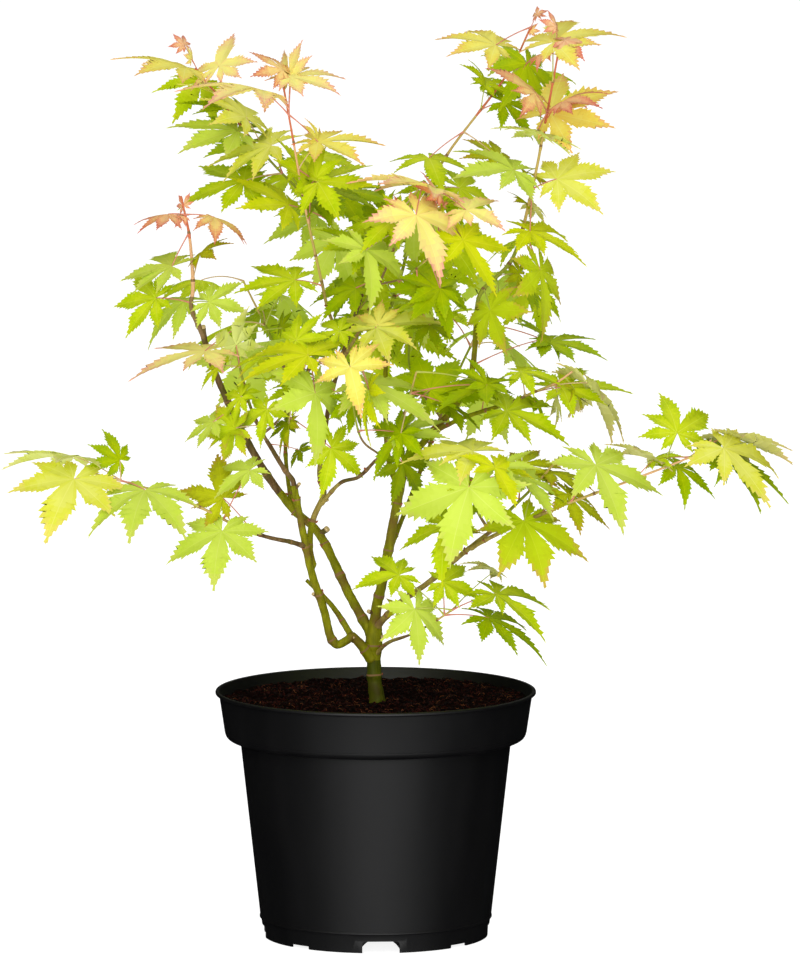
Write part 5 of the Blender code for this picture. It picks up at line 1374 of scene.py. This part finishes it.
def strew_fibres(edge, rng):
    """Curled fibres, each arched up over the soil."""
    fibres = Heap()
    for x, y in strewn(FIBRES, edge * 0.95, rng):
        place = Vector((x, y, 0))
        way = Vector((rng.uniform(-1, 1), rng.uniform(-1, 1), 0)).normalized()
        curl, long = rng.uniform(-0.5, 0.5), rng.uniform(0.4, 1.3)
        line = []
        for hop in (0.1, 0.7, 1.1, 0.8, 0.2):
            place = place + way * long
            way = Matrix.Rotation(curl * rng.uniform(0.4, 1.2), 3, "Z") @ way
            if math.hypot(place.x, place.y) > edge - 1:
                break
            rise = hop * rng.uniform(0.3, 1.2)
            line.append(Vector((place.x, place.y, soil_height(place.x, place.y) + rise)))
        if len(line) > 2:
            thin = rng.uniform(0.05, 0.11)
            sweep(fibres, line, [thin] * len(line), 4, rng.choice(FIBRE_LOOKS))
    fibres.piece("soil_fibres", "soil")


# ---------------------------------------------------------------- light, floor and camera

def build_floor():
    """A light table: white all over. It doesn't show in the pot's shine, which would turn grey from it."""
    mesh = bpy.data.meshes.new("floor")
    corners = [(-1, -1), (1, -1), (1, 1), (-1, 1)]
    mesh.from_pydata([(x * FLOOR_REACH, y * FLOOR_REACH, 0) for x, y in corners], [], [(0, 1, 2, 3)])
    mesh.materials.append(finish_of("matt white light table", base_color=linear("#B4B4B4"), roughness=0.95,
                                    emission_color=linear("#FFFFFF"), emission_strength=0.88)[0])
    floor = linked("floor", mesh)
    floor.visible_glossy = False


def build_sky():
    """White to look at, soft light from above for matt surfaces, and for shine one wide glow in front.

    The glow is a soft box between dark flags: black plastic shines in its middle and stays black at
    its sides.
    """
    world = bpy.data.worlds.new("studio")
    bpy.context.scene.world = world
    world.use_nodes = True
    tree = world.node_tree
    tree.nodes.clear()
    path = node(tree, "ShaderNodeLightPath").outputs
    way = node(tree, "ShaderNodeSeparateXYZ", inputs={
        "Vector": node(tree, "ShaderNodeTexCoord").outputs["Generated"]}).outputs
    soft = spread(tree, way["Z"], 0.05, 0.6, start=0.05, stop=0.8, ease="SMOOTHSTEP")
    glow = spread(tree, way["Y"], 0.0, 0.13, start=-0.1, stop=-0.85, ease="SMOOTHSTEP")
    strength = node(tree, "ShaderNodeMix", {"data_type": "FLOAT"}, {
        "Factor": path["Is Glossy Ray"], "A": soft, "B": glow}).outputs["Result"]
    white = (1, 1, 1, 1)
    lit = node(tree, "ShaderNodeBackground", inputs={"Strength": strength, "Color": white})
    seen = node(tree, "ShaderNodeBackground", inputs={"Strength": 1.0, "Color": white})
    both = node(tree, "ShaderNodeMixShader", inputs={
        0: path["Is Camera Ray"], 1: lit.outputs[0], 2: seen.outputs[0]})
    node(tree, "ShaderNodeOutputWorld", inputs={"Surface": both.outputs[0]})


def build_stage():
    """A white studio with soft lamps. Colours are shown as they are, with no film curve over them."""
    bpy.context.scene.view_settings.view_transform = "Standard"
    build_floor()
    build_sky()
    for name, (place, wide, high, power) in LAMPS.items():
        lamp = bpy.data.lights.new(name, "AREA")
        lamp.shape = "RECTANGLE"
        lamp.size, lamp.size_y = wide, high
        lamp.energy = power
        obj = linked(name, lamp)
        obj.location = place
        obj.rotation_euler = (LAMP_AIM - obj.location).to_track_quat("-Z", "Y").to_euler()


def build_camera():
    """The camera, level but for its dip, where the view's own scale puts it."""
    data = bpy.data.cameras.new("camera")
    data.sensor_width = SENSOR
    data.lens = EYE_PIXELS / FRAME_H * SENSOR
    data.clip_end = CLIP_END
    camera = linked("camera", data)
    camera.location = (EYE + Vector((POT_X, POT_Y, 0))) * MM
    camera.rotation_euler = (math.pi / 2 - EYE_DIP, 0, 0)
    bpy.context.scene.camera = camera


build_camera()
build_stage()
build_pot()
build_soil()
build_plant()
